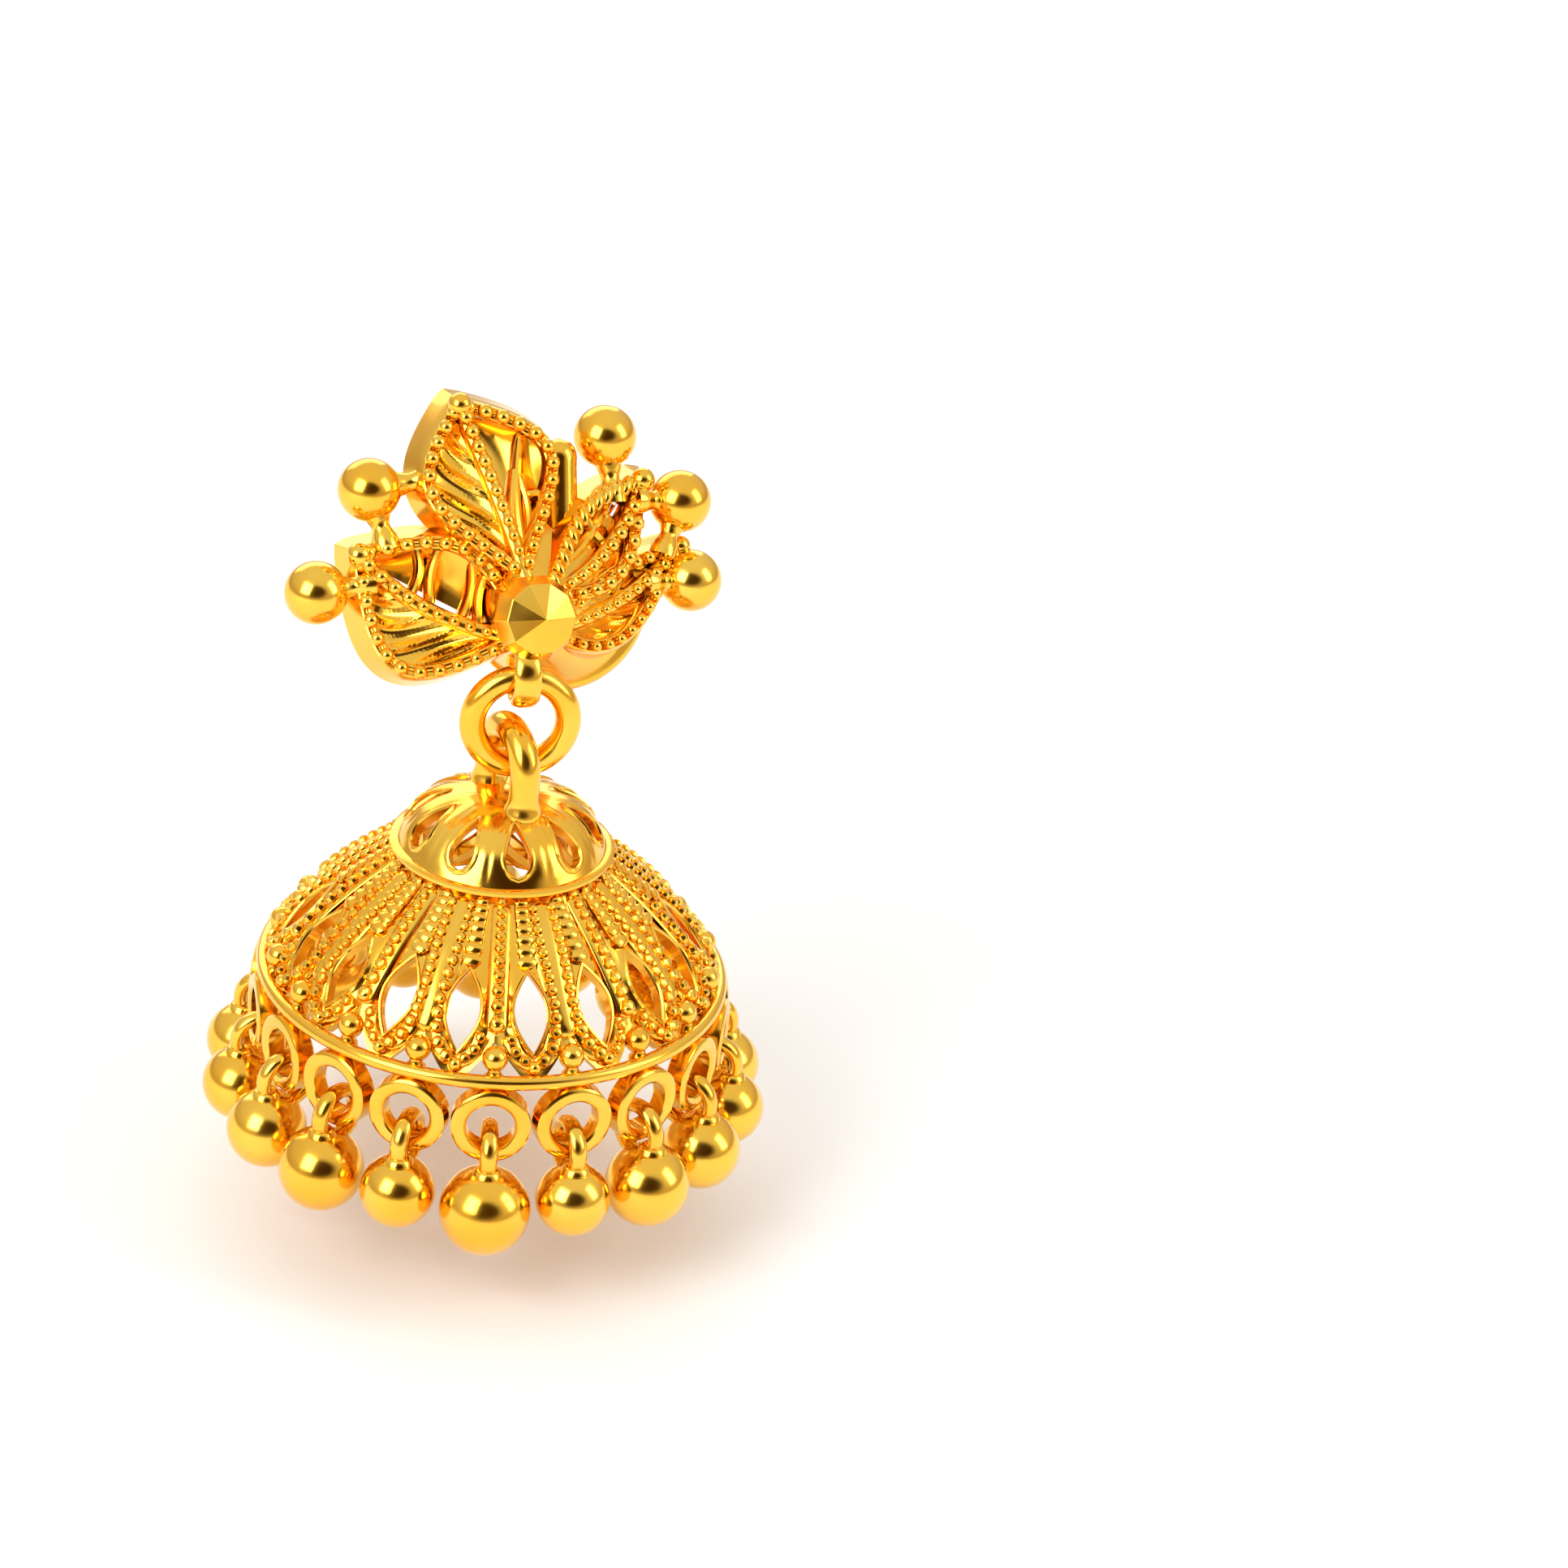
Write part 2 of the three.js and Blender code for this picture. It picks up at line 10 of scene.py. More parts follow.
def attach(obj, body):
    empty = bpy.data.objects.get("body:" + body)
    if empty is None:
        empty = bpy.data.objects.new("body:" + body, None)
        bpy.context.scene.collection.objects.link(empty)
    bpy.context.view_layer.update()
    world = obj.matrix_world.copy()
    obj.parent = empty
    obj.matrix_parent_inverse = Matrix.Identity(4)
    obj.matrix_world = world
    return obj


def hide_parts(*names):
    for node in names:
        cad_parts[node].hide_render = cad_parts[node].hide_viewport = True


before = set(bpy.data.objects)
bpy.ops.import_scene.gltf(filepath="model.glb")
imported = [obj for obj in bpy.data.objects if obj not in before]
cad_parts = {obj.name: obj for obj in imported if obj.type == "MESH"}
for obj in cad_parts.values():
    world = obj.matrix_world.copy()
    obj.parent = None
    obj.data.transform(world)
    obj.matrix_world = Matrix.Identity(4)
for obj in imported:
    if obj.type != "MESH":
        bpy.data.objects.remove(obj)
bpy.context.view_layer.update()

bl_info = {
    "name": "Gold bell earring",
    "version": (1, 0, 0),
    "blender": (4, 5, 0),
    "location": "3D View > Sidebar > Earring",
    "description": "Builds a gold flower stud with a pierced bell and ball drops",
    "category": "Add Mesh",
}

MM = 0.001
TURN = 2 * math.pi
# Points nearer than the weld, in millimetres, are one, and edges past the crease, in degrees, are sharp
WELD = 1e-5
CREASE = 35.0
RIGHT, BACK, UP = (1.0, 0.0, 0.0), (0.0, 1.0, 0.0), (0.0, 0.0, 1.0)

# Flower, in millimetres in its upright frame: x to the right, y to the back, z up, the post on the Y axis
LEAN = math.radians(22)
BOSS_AT = np.array([-2.3, -4.2, -0.6])
BOSS_ROWS = [(0, -0.8), (1.5, -0.8), (1.77, 0.35), (1.45, 1.15), (0, 1.75)]
BOSS_FACETS = 10
BOSS_EDGE = 0.03
PETALS = [
    dict(root=(0.0, -0.9), tip=(-6.4, 3.0), back=(0.3, 3.2), bow=0.8,
         left=(2.85, 0.52), right=(3.1, 0.5), open=-1, rope=False),
    dict(root=(0.15, 0.9), tip=(-1.72, 8.85), back=(0.3, 3.3), bow=-0.14,
         left=(2.78, 0.59), right=(3.0, 0.63), open=-1, rope=False),
    dict(root=(0.25, 0.7), tip=(6.25, 5.35), back=(0.3, 3.5), bow=-0.98,
         left=(2.05, 0.55), right=(1.28, 0.48), open=1, rope=True),
    dict(root=(0.74, -0.6), tip=(8.0, 2.42), back=(0.3, 3.9), bow=-0.61,
         left=(1.38, 0.5), right=(1.65, 0.36), open=1, rope=False),
]
# Sections of border and midrib: inset or step aside, and depth behind the petal's front
BORDER_SECTION = np.array([
    (0.62, 1.35), (0.58, 0.8), (0.55, 0.3), (0.53, 0.08), (0.50, 0.0), (0.45, -0.03), (0.40, 0.02),
    (0.33, 0.10), (0.26, 0.12), (0.19, 0.10), (0.12, 0.02), (0.06, -0.03), (0.0, 0.0), (-0.06, 0.14),
    (-0.17, 0.55), (-0.28, 1.05), (-0.4, 1.5), (-0.34, 1.56), (0.3, 1.52),
])
RIB_SECTION = np.array([
    (-0.32, 1.0), (-0.32, 0.16), (-0.29, 0.04), (-0.22, -0.05), (-0.12, -0.10), (0.0, -0.12),
    (0.12, -0.10), (0.22, -0.05), (0.29, 0.04), (0.32, 0.16), (0.32, 1.0),
])
# Spans are shares of the petal's length from root to tip
RIB_SPAN, RIB_END, RIB_TAPER = (0.02, 0.97), 1.02, 6
VEINED_SPAN, VEINED_BACK = (0.05, 0.96), 1.1
VEINED_FROM_RIB, VEINED_FROM_BORDER, VEINED_LEAST = 0.2, 0.3, 0.25
VEINED_DEPTH, VEINED_HOLLOW, VEINED_FADE = 0.38, 0.30, 0.6
VEIN_PULL, VEIN_RISE, FINE_VEINS, FINE_RISE = 0.3, 0.24, 4, 0.02
BOWL_SPAN, BOWL_REACH, BOWL_FROM_BORDER = (0.1, 0.95), 0.8, 0.4
BOWL_TOP, BOWL_FALL, BOWL_WALL = 0.25, 1.05, 0.22
# Ribbons in the open halves: petal, then place along and across at both ends, and the bulge between
RIBBONS = [
    (0, 0.74, 0.95, 0.62, 0.05, 0.35), (0, 0.60, 0.95, 0.50, 0.05, -0.30),
    (0, 0.46, 0.95, 0.34, 0.05, 0.30), (0, 0.34, 0.90, 0.24, 0.05, -0.20),
    (1, 0.12, 0.30, 0.60, 0.42, 0.28), (1, 0.60, 0.42, 0.22, 0.62, 0.25),
    (1, 0.10, 0.75, 0.76, 0.80, 0.30), (1, 0.45, 0.55, 0.40, 0.90, 0.20),
    (2, 0.20, 0.60, 0.75, 0.62, -0.25), (2, 0.55, 0.10, 0.60, 0.95, 0.15),
    (3, 0.25, 0.15, 0.40, 0.95, 0.20), (3, 0.45, 0.15, 0.58, 0.95, -0.20),
]
RIBBON_DEPTH, RIBBON_HALF, RIBBON_FLAT, RIBBON_STEPS = 0.7, 0.42, 0.55, 18
# Granules of the petals: places, and sizes as shares of the granule's radius or pitch
NARROW_GRANULE, GRANULE_PER_WIDTH = 0.42, 0.3
BORDER_GRANULE_INSET, BORDER_GRANULE_DEPTH = 0.26, -0.1
BORDER_SKIPS = (0.9, 0.62)
BORDER_GRANULES, RIB_GRANULES = (0.8, 1.0), (0.68, 0.98)
RIB_GRANULE_SPAN, RIB_GRANULE_DEPTH, RIB_GRANULE_PITCH = (0.22, 0.9), -0.16, 0.9
TIP_GRANULE, TIP_GRANULE_AT, TIP_GRANULE_DEPTH = 1.5, 0.965, -0.14
ROPE_PITCH, ROPE_SLANT, ROPE_RADII = 0.7, 0.9, (1.6, 0.95, 0.8)
# Balls of the flower: centre, and the feet of their necks on the petals' walls
FLOWER_BALLS = [
    dict(at=(-7.95, 1.35), feet=[(-5.6, 1.6)]),
    dict(at=(-5.5, 5.35), feet=[(-2.9, 5.7), (-5.0, 2.9)]),
    dict(at=(4.65, 6.95), feet=[(4.7, 4.2)]),
    dict(at=(7.8, 4.1), feet=[(5.6, 4.3), (6.7, 1.9)]),
    dict(at=(8.1, 0.8), feet=[(5.9, 0.9)]),
]
BALL_BACK = 3.5
NECK_BACK = 3.0
NECK_RADIUS, WAIST_DEPTH, WAIST_AT, WAIST_SPREAD = 0.58, 0.2, 0.62, 0.14
# Behind the flower: rows are radius and distance to the back
HUB_BEHIND_BOSS, HUB_RADIUS, HUB_FOOT_RADIUS, PLATE_MIDDLE = 0.4, 1.5, 3.9, -0.4
PLATE_ROWS = [(0, -0.8), (3.7, -0.8), (3.88, -0.74), (3.98, -0.6), (4, -0.4),
              (3.98, -0.2), (3.88, -0.06), (3.7, 0), (0, 0)]
TAB_ENDS, TAB_RADIUS = ((2.3, 1.6, 3.1), (2.5, 7.0, 3.1)), 0.75
POST_SPAN, POST_RADIUS, POST_END_RADIUS = (-0.4, 8.0), 0.5, 0.42
THREAD_SPAN, THREAD_DEPTH, THREAD_PITCH = (1.0, 7.7), 0.04, 0.5
SCREW_BACK_ROWS = [(0.75, 1.8), (3.25, 1.8), (3.45, 1.88), (3.57, 2.05), (3.6, 2.35), (3.57, 2.65),
                   (3.45, 2.82), (3.25, 2.9), (1.85, 2.9), (1.72, 3.0), (1.7, 3.2), (1.7, 4.2),
                   (1.6, 4.4), (0.75, 4.4)]
KNURLS, KNURL_DEPTH, KNURL_FROM = 48, 0.012, 3.3

# Hanging line, in millimetres from the boss's base: x to the right, y to the back, z up
HANG_STEP = np.array([-0.35, -0.45, 0.0])
RING_DROP = 4.4
RING_RADIUS = 1.965
RING_WIRE = 0.535
RING_YAW = math.radians(-10)
LOOP_RADIUS = 1.2
LOOP_WIRE = 0.3
LOOP_WIDTH = 0.55
LOOP_THICKNESS = 0.24
LINK_GAP = 0.15
BAIL_WIRE = 0.62
BAIL_RADIUS = 1.57
BAIL_YAW = math.radians(8)
BAIL_SLIDE = -0.35
BAIL_PIVOT = -RING_DROP - math.sqrt(RING_RADIUS**2 - BAIL_SLIDE**2)
BAIL_SUNK, BAIL_SWELL, BAIL_SWELL_HEIGHT, BAIL_LEG_STEPS = 0.25, 0.32, 0.42, 12
CAP_TOP = BAIL_PIVOT - 1.3
CAP_HEIGHT = 2.35
CAP_RIM = CAP_TOP - CAP_HEIGHT
CAP_PROFILE = [(4.3, 0.12), (3.95, 0.8), (3.3, 1.6), (1.95, 2.2), (0.0, CAP_HEIGHT)]
CAP_CELL_TOP, CAP_WALL = 4.7, 0.4
CAP_LOBES, CAP_LOBE_DEPTH = 10, 0.06
CAP_TURN = math.radians(-9)
CREASE_DEPTH, CREASE_RADIUS, CREASE_WIDTH = 0.035, 3.4, 0.10
DROP_HOLE_SPAN, DROP_HOLE_HALF, DROP_HOLE_FOOT, DROP_HOLE_SIDES = (0.42, 2.95), 0.575, 0.3, 0.66
CAP_EDGE_RISE, CAP_EDGE_WIDTH, CAP_EDGE_WIRE, CAP_WIRE_LIFT = 0.07, 0.10, 0.07, 0.04
CAP_WIRE_UP = 5.0  # the edge wires stand up as the dome does at this length
CAP_FLANGE = 4.62
LID_ROWS = [(0, 0.04), (0.5, 0.03), (0.8, -0.03), (0.85, -0.15), (0.7, -0.4), (0, -0.4)]
FLANGE_ROWS = [(0, 0.06), (-0.08, 0.12), (-0.4, 0.14), (-0.8, 0.14), (-0.9, 0),
               (-0.8, -0.12), (-0.08, -0.12), (0, -0.06)]
DOME_RIM = CAP_RIM - 5.8
DOME_PROFILE = [(9.28, 0), (8.93, 0.65), (8.0, 1.95), (6.4, 3.65), (4.2, 5.5)]
PANELS = 18
MOTIFS = PANELS // 2
PITCH = TURN / PANELS
HALF_PITCH = PITCH / 2
BELL_TURN = math.radians(-17.4)
PANEL_ANGLES = TURN * np.arange(PANELS) / PANELS + BELL_TURN
# Openings, bands and granules of the dome: spans are lengths up the profile
OPENING_SPAN, OPENING_HALF = (0.92, 4.42), 0.74
OPENING_EDGE_RISE, OPENING_EDGE_WIDTH, FLUTE_DEPTH = 0.08, 0.14, 0.10
OPENING_EDGE_WIRE, OPENING_WIRE_LIFT, OPENING_MIDDLE = 0.075, 0.10, 3.0
MIDDLE_BAND, PLAIN_BAND, TOP_BAND = (1.75, 7.4), (1.5, 7.4), (4.65, 7.4)
MIDDLE_GRANULES, TOP_GRANULES = (2.25, 7.3), (4.75, 7.3)
GRANULE_LIFT, GRANULE_LIFT_FALL = 0.2, 0.012
FOOT_BALL, FOOT_BALL_ALONG, END_BALL, END_BALL_ALONG, DOME_BALL_LIFT = 1.02, 0.5, 1.15, 2.15, 0.14
OUTER_ROW = [(0.0, 0.55), (3.9, 0.95), (6.2, 1.75), (7.0, 2.75), (6.8, 3.9), (6.0, 5.2), (5.2, 7.1)]
INNER_ROW = [(0.0, 0.55), (-3.9, 0.95), (-6.4, 1.8)]
ROW_SCALE = (0.16, 1)
RIM_RADIUS, RIM_WIRE = 9.5, 0.3
RIM_BALL_CIRCLE, RIM_BALL_LIFT, RIM_FOOT_CIRCLE = 8.95, 0.78, 9.1
RIM_FOOT_ROWS = [(0, -0.1), (0.42, -0.1), (0.4, 0.1), (0.27, 0.25), (0.24, 0.5), (0, 0.5)]
FRINGE_CENTRE = DOME_RIM - 1.85
FRINGE_OUTER = 1.6
FRINGE_INNER = 1.0
FRINGE_MIDDLE = (FRINGE_OUTER + FRINGE_INNER) / 2
FRINGE_HALF, FRINGE_BULGE = 0.34, 0.12
DROP_CIRCLE = 10.3
DROP_TOP = 0.15
DROP_RADII = [1.85, 1.52, 1.75, 1.65, 1.58]
DROP_LOOP_RADIUS, DROP_LOOP_HALF, DROP_LOOP_FLAT = 1.05, 0.36, 0.8
COLLAR_ROWS = [(0, -0.25), (0.5, -0.25), (0.6, -0.1), (0.52, 0.08), (0.4, 0.16), (0, 0.16)]
COLLAR_CIRCLE = DROP_CIRCLE + 0.1

# How strongly the lines of a pierced sheet crowd round its opening
CELL_CROWDING = 1.3

# Looks: each slot's gold, with the setting that holds its roughness
GOLDS = {"cast_gold": ("bright_cast_gold", "cast"), "polished_gold": ("mirror_gold", "polished")}
COAT, COAT_ROUGHNESS = 0.3, 0.05
CLOUD_SHARE, GRAIN_DETAIL = 0.25, 3.0
POLISH_LOW, POLISH_HIGH = 0.7, 1.3
BUMP_STRENGTH, BUMP_DISTANCE = 0.03, 0.02 * MM

# Stage: lengths are in millimetres, apart from the middle of the earring, which is in metres
CAMERA_AZIMUTH = math.radians(-20)
CAMERA_ELEVATION = math.radians(27.6)
CAMERA_ROLL = math.radians(6.2)
MIDDLE = Vector((-2.5, -4.5, -8.0)) * MM
FRAME_WIDTH = 64.4
SENSOR = 36.0
AIM_STEP = (10.61, -5.88)
FLOOR_LEVEL = -25.6
FLOOR_REACH = 1500
FLOOR_NOISE, FLOOR_SHADE, FLOOR_ROUGHNESS = 12, 0.99, 0.9
# Room light by height, from the horizon to straight up, and the dark opening of the light tent in front:
# its colour, its half width and half height as sines, and where its soft edge starts and ends
SKY = [(0.0, (0.60, 0.46, 0.28)), (1.0, (1.0, 1.0, 1.0)), (0.35, (0.85, 0.80, 0.72))]
FRONT_DARK = (0.05, 0.018, 0.002)
FRONT_WIDE = 0.72
FRONT_HIGH = 0.42
FRONT_EDGE = (0.55, 1.15)
# Softboxes: place, width and height in metres, and radiance
SOFTBOXES = {
    "softbox_left": ((-0.34, -0.20, 0.24), (0.26, 0.30), 6.0),
    "softbox_right": ((0.34, -0.22, 0.22), (0.16, 0.30), 4.0),
    "softbox_back": ((0.05, 0.42, 0.20), (0.50, 0.25), 1.5),
}


class EarringGold(bpy.types.PropertyGroup):
    """Colour and polish of the gold."""
    light: FloatVectorProperty(name="Light gold", description="Colour where the gold is palest",
                               subtype="COLOR", default=(1.0, 0.61, 0.075), min=0, max=1)
    deep: FloatVectorProperty(name="Deep gold", description="Colour where the gold is warmest",
                              subtype="COLOR", default=(1.0, 0.53, 0.04), min=0, max=1)
    polished: FloatProperty(name="Polished roughness", description="Roughness of balls and rings",
                            default=0.18, min=0, max=1, subtype="FACTOR")
    cast: FloatProperty(name="Cast roughness", description="Roughness of the flower, cap and dome",
                        default=0.17, min=0, max=1, subtype="FACTOR")
    grain: FloatProperty(name="Grain", description="Size of the fine unevenness of the surface",
                         default=0.0009, min=0.0001, max=0.01, unit="LENGTH")


class EarringFlower(bpy.types.PropertyGroup):
    """Sizes of the flower stud."""
    ball: FloatProperty(name="Ball radius", description="Radius of the five balls round the flower",
                        default=0.0013, min=0.0005, max=0.003, unit="LENGTH")
    granule: FloatProperty(name="Granule radius", description="Radius of the granules on the petals",
                           default=0.00034, min=0.0001, max=0.001, unit="LENGTH")
    pitch: FloatProperty(name="Granule pitch", description="Distance between granules on a border",
                         default=0.00076, min=0.0003, max=0.002, unit="LENGTH")
    veins: IntProperty(name="Veins", description="Veins in the closed half of a petal",
                       default=6, min=1, max=20)


class EarringBell(bpy.types.PropertyGroup):
    """Sizes of the bell."""
    wall: FloatProperty(name="Wall", description="Thickness of the dome's sheet",
                        default=0.0004, min=0.0001, max=0.001, unit="LENGTH")
    granule: FloatProperty(name="Granule radius", description="Usual radius of the granules on the dome",
                           default=0.00028, min=0.0001, max=0.001, unit="LENGTH")
    rim_ball: FloatProperty(name="Rim ball radius", description="Radius of the balls that stand on the rim",
                            default=0.00053, min=0.0001, max=0.001, unit="LENGTH")


class EarringStage(bpy.types.PropertyGroup):
    """Floor, lights and camera."""
    floor: FloatVectorProperty(name="Floor colour", description="Colour of the pale floor",
                               subtype="COLOR", default=(0.98, 0.98, 0.98), min=0, max=1)
    room: FloatProperty(name="Room light", description="Strength of the light of the room",
                        default=0.85, min=0, max=10)
    boxes: FloatProperty(name="Softboxes", description="Strength of the soft lights",
                         default=1.0, min=0, max=10)
    lens: FloatProperty(name="Lens", description="Focal length of the camera in millimetres",
                        default=105, min=20, max=400)


# Shapes: a shape is a pair of arrays, points and quads

def sheet(points, close_rows=False, close_cols=False):
    """A grid of points, rows by columns, with a quad between each four neighbours.
    A closed direction also joins its last line of points to its first."""
    rows, cols = points.shape[:2]
    row = np.arange(rows if close_rows else rows - 1)[:, None]
    col = np.arange(cols if close_cols else cols - 1)[None, :]
    low, high = row * cols, (row + 1) % rows * cols
    next_col = (col + 1) % cols
    corners = (low + col, low + next_col, high + next_col, high + col)
    quads = np.stack(np.broadcast_arrays(*corners), axis=-1)
    return points.reshape(-1, 3), quads.reshape(-1, 4)


def outward(shape):
    """The same closed shape with its faces turned outwards, so that the volume they enclose is positive."""
    points, quads = shape
    a, b, c, d = (points[quads[:, i]] for i in range(4))
    volume = np.sum(a * np.cross(b, c)) + np.sum(a * np.cross(c, d))
    return points, (quads if volume > 0 else quads[:, ::-1])


def gather(shapes):
    """Several shapes as one: their points in a row, and their faces counted on."""
    starts = np.cumsum([0] + [len(points) for points, _ in shapes[:-1]])
    points = np.concatenate([points for points, _ in shapes])
    return points, np.concatenate([quads + start for (_, quads), start in zip(shapes, starts)])


def placed(shape, move):
    """The shape with a function of its points applied, and its faces still outwards."""
    points, quads = shape
    return outward((move(points), quads))


def shifted(shape, step):
    """The shape moved by a step."""
    points, quads = shape
    return points + step, quads


def turn_z(points, angle):
    """Points turned about the Z axis."""
    x, y, z = points[..., 0], points[..., 1], points[..., 2]
    cos, sin = np.cos(angle), np.sin(angle)
    return np.stack([x * cos - y * sin, x * sin + y * cos, z + 0 * angle], -1)


def around(shape, angles):
    """Copies of a shape, turned about the Z axis to each angle."""
    points, quads = shape
    copies = turn_z(points[None], angles[:, None])
    counts = len(points) * np.arange(len(angles))
    return copies.reshape(-1, 3), (quads[None] + counts[:, None, None]).reshape(-1, 4)


def bar(sections):
    """Closed sections, one to a row, joined to a bar. The first and last are drawn together to their middles,
    which closes both ends."""
    first = np.broadcast_to(sections[:1].mean(axis=1, keepdims=True), sections[:1].shape)
    last = np.broadcast_to(sections[-1:].mean(axis=1, keepdims=True), sections[-1:].shape)
    return outward(sheet(np.concatenate([first, sections, last]), close_cols=True))


def walled(front, back):
    """A bar whose sections run along a front sheet and home along a back sheet."""
    return bar(np.concatenate([front, back[:, ::-1]], axis=1))


def unit(vectors):
    """Vectors scaled to length one."""
    return vectors / np.maximum(np.linalg.norm(vectors, axis=-1, keepdims=True), 1e-12)


def hump(x, spread):
    """A bell curve of height one, which falls to about a third at the spread."""
    return np.exp(-((x / spread) ** 2))


def turn_steps(count):
    """Angles at equal steps round a full turn."""
    return np.linspace(0, TURN, count, endpoint=False)


def lengths_along(path):
    """The distance of each point of a path from its start, measured along it."""
    return np.concatenate([[0], np.cumsum(np.linalg.norm(np.diff(path, axis=0), axis=1))])


def read_off(at, lengths, path):
    """Points of a path at given lengths along it, on the straight lines between its own points."""
    return np.stack([np.interp(at, lengths, path[:, axis]) for axis in range(path.shape[1])], -1)


def flowing(rows, count):
    """A smooth line through rows of values: cubic pieces whose slopes at each row come from its neighbours."""
    rows = np.asarray(rows, float)
    steps = lengths_along(rows)
    slopes = np.gradient(rows, steps, axis=0)
    at = np.linspace(0, steps[-1], count)
    span = np.clip(np.searchsorted(steps, at, side="right") - 1, 0, len(rows) - 2)
    length = (steps[span + 1] - steps[span])[:, None]
    x = (at[:, None] - steps[span][:, None]) / length
    start = rows[span] * (2 * x**3 - 3 * x**2 + 1) + slopes[span] * length * (x**3 - 2 * x**2 + x)
    return start + rows[span + 1] * (3 * x**2 - 2 * x**3) + slopes[span + 1] * length * (x**3 - x**2)


def spaced(path, pitch, skip_start=0.0, skip_end=0.0):
    """Places along a path at equal steps near the pitch, away from its ends by the skips."""
    lengths = lengths_along(path)
    count = max(int(round((lengths[-1] - skip_start - skip_end) / pitch)), 1) + 1
    return read_off(np.linspace(skip_start, lengths[-1] - skip_end, count), lengths, path)


def turned(rows, sides, close=False):
    """Rows of radius and height carried round the Z axis."""
    rows = np.asarray(rows, float)
    angle = turn_steps(sides)
    across = rows[:, :1] * np.cos(angle)
    away = rows[:, :1] * np.sin(angle)
    points = np.stack([across, away, np.broadcast_to(rows[:, 1:], across.shape)], -1)
    return outward(sheet(points, close_rows=close, close_cols=True))


def along_y(points):
    """Points whose height becomes the distance to the back."""
    return points[..., [0, 2, 1]]


def balls(centres, radii, sides, rings, axes=None):
    """Balls: half circles carried round, scaled to one radius or three per ball, and turned to its own axes."""
    lift = np.linspace(-math.pi / 2, math.pi / 2, rings + 1)[:, None]
    angle = turn_steps(sides)[None, :]
    sphere = np.stack([np.cos(lift) * np.cos(angle), np.cos(lift) * np.sin(angle), np.sin(lift) + 0 * angle], -1)
    _, quads = outward(sheet(sphere, close_cols=True))
    centres = np.asarray(centres, float).reshape(-1, 3)
    radii = np.asarray(radii, float)
    radii = np.broadcast_to(radii if radii.ndim == 2 else radii.reshape(-1, 1), centres.shape)
    points = sphere[None] * radii[:, None, None, :]
    if axes is not None:
        points = np.einsum("nrsk,nkj->nrsj", points, axes)
    points = points + centres[:, None, None, :]
    counts = sphere.shape[0] * sphere.shape[1] * np.arange(len(centres))
    return points.reshape(-1, 3), (quads[None] + counts[:, None, None]).reshape(-1, 4)


def tube(path, radius, sides, up, close=False, flat=1.0):
    """A rod along a path: an ellipse set square to it, as high as the radius along the up direction
    and as wide as the radius times flat."""
    path = np.asarray(path, float)
    radius = np.broadcast_to(np.asarray(radius, float), len(path))[:, None, None]
    tangent = np.roll(path, -1, 0) - np.roll(path, 1, 0) if close else np.gradient(path, axis=0)
    tangent = unit(tangent)
    side = unit(np.cross(tangent, np.broadcast_to(up, path.shape)))
    over = np.cross(side, tangent)
    angle = turn_steps(sides)[None, :, None]
    points = path[:, None] + radius * (np.cos(angle) * flat * side[:, None] + np.sin(angle) * over[:, None])
    return outward(sheet(points, close_rows=True, close_cols=True)) if close else bar(points)


def circle(centre, radius, first, second, steps):
    """Points on a circle round a centre, in the plane of two directions."""
    angle = turn_steps(steps)[:, None]
    return np.asarray(centre) + radius * (np.cos(angle) * np.asarray(first) + np.sin(angle) * np.asarray(second))


def rounded(count, share):
    """Scale along a rod with half-round ends: a quarter circle over the given share at each end."""
    x = np.linspace(0, 1, count)
    end = np.clip(np.minimum(x, 1 - x) / share, 0, 1)
    return np.sqrt(1 - (1 - end) ** 2) * 0.95 + 0.05


def welded(shape):
    """The shape with points in one place made one, faces that shrank to a line dropped,
    and pairs of faces that lie on each other removed. Gives points, quads and triangles."""
    points, quads = shape
    places = np.round(points / WELD).astype(np.int64)
    _, first, same = np.unique(places, axis=0, return_index=True, return_inverse=True)
    quads = same.reshape(-1)[quads]
    doubled = quads == np.roll(quads, -1, axis=1)
    count = doubled.sum(axis=1)
    whole = quads[count == 0]
    _, place, seen = np.unique(np.sort(whole, axis=1), axis=0, return_inverse=True, return_counts=True)
    whole = whole[seen[place.reshape(-1)] == 1]
    thin = quads[count == 1]
    return points[first], whole, thin[~doubled[count == 1]].reshape(-1, 3)


def piece(name, shape, body, nodes, slot, crease=CREASE):
    """One named mesh from a shape in millimetres. It rides on a body and stands for CAD nodes.
    Edges past the crease, in degrees, are sharp. A crease of none leaves it faceted."""
    points, quads, tris = welded(shape)
    mesh = bpy.data.meshes.new(name)
    mesh.vertices.add(len(points))
    mesh.vertices.foreach_set("co", (points * MM).astype(np.float32).ravel())
    corners = np.concatenate([quads.ravel(), tris.ravel()]).astype(np.int32)
    starts = np.concatenate([4 * np.arange(len(quads)), 4 * len(quads) + 3 * np.arange(len(tris))])
    mesh.loops.add(len(corners))
    mesh.loops.foreach_set("vertex_index", corners)
    mesh.polygons.add(len(starts))
    mesh.polygons.foreach_set("loop_start", starts.astype(np.int32))
    mesh.polygons.foreach_set("use_smooth", np.full(len(starts), crease is not None))
    mesh.update(calc_edges=True)
    mesh.validate()
    if crease is not None:
        mesh.set_sharp_from_angle(angle=math.radians(crease))
    mesh.materials.append(gold(slot))
    made = bpy.data.objects.new(name, mesh)
    bpy.context.scene.collection.objects.link(made)
    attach(made, body)
    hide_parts(*nodes)
    return made


# Places on the flower and on the bell

def flower_world(points):
    """The flower's upright frame leant back about the X axis."""
    x, y, z = points[..., 0], points[..., 1], points[..., 2]
    cos, sin = np.cos(LEAN), np.sin(LEAN)
    return np.stack([x, y * cos + z * sin, z * cos - y * sin], -1)


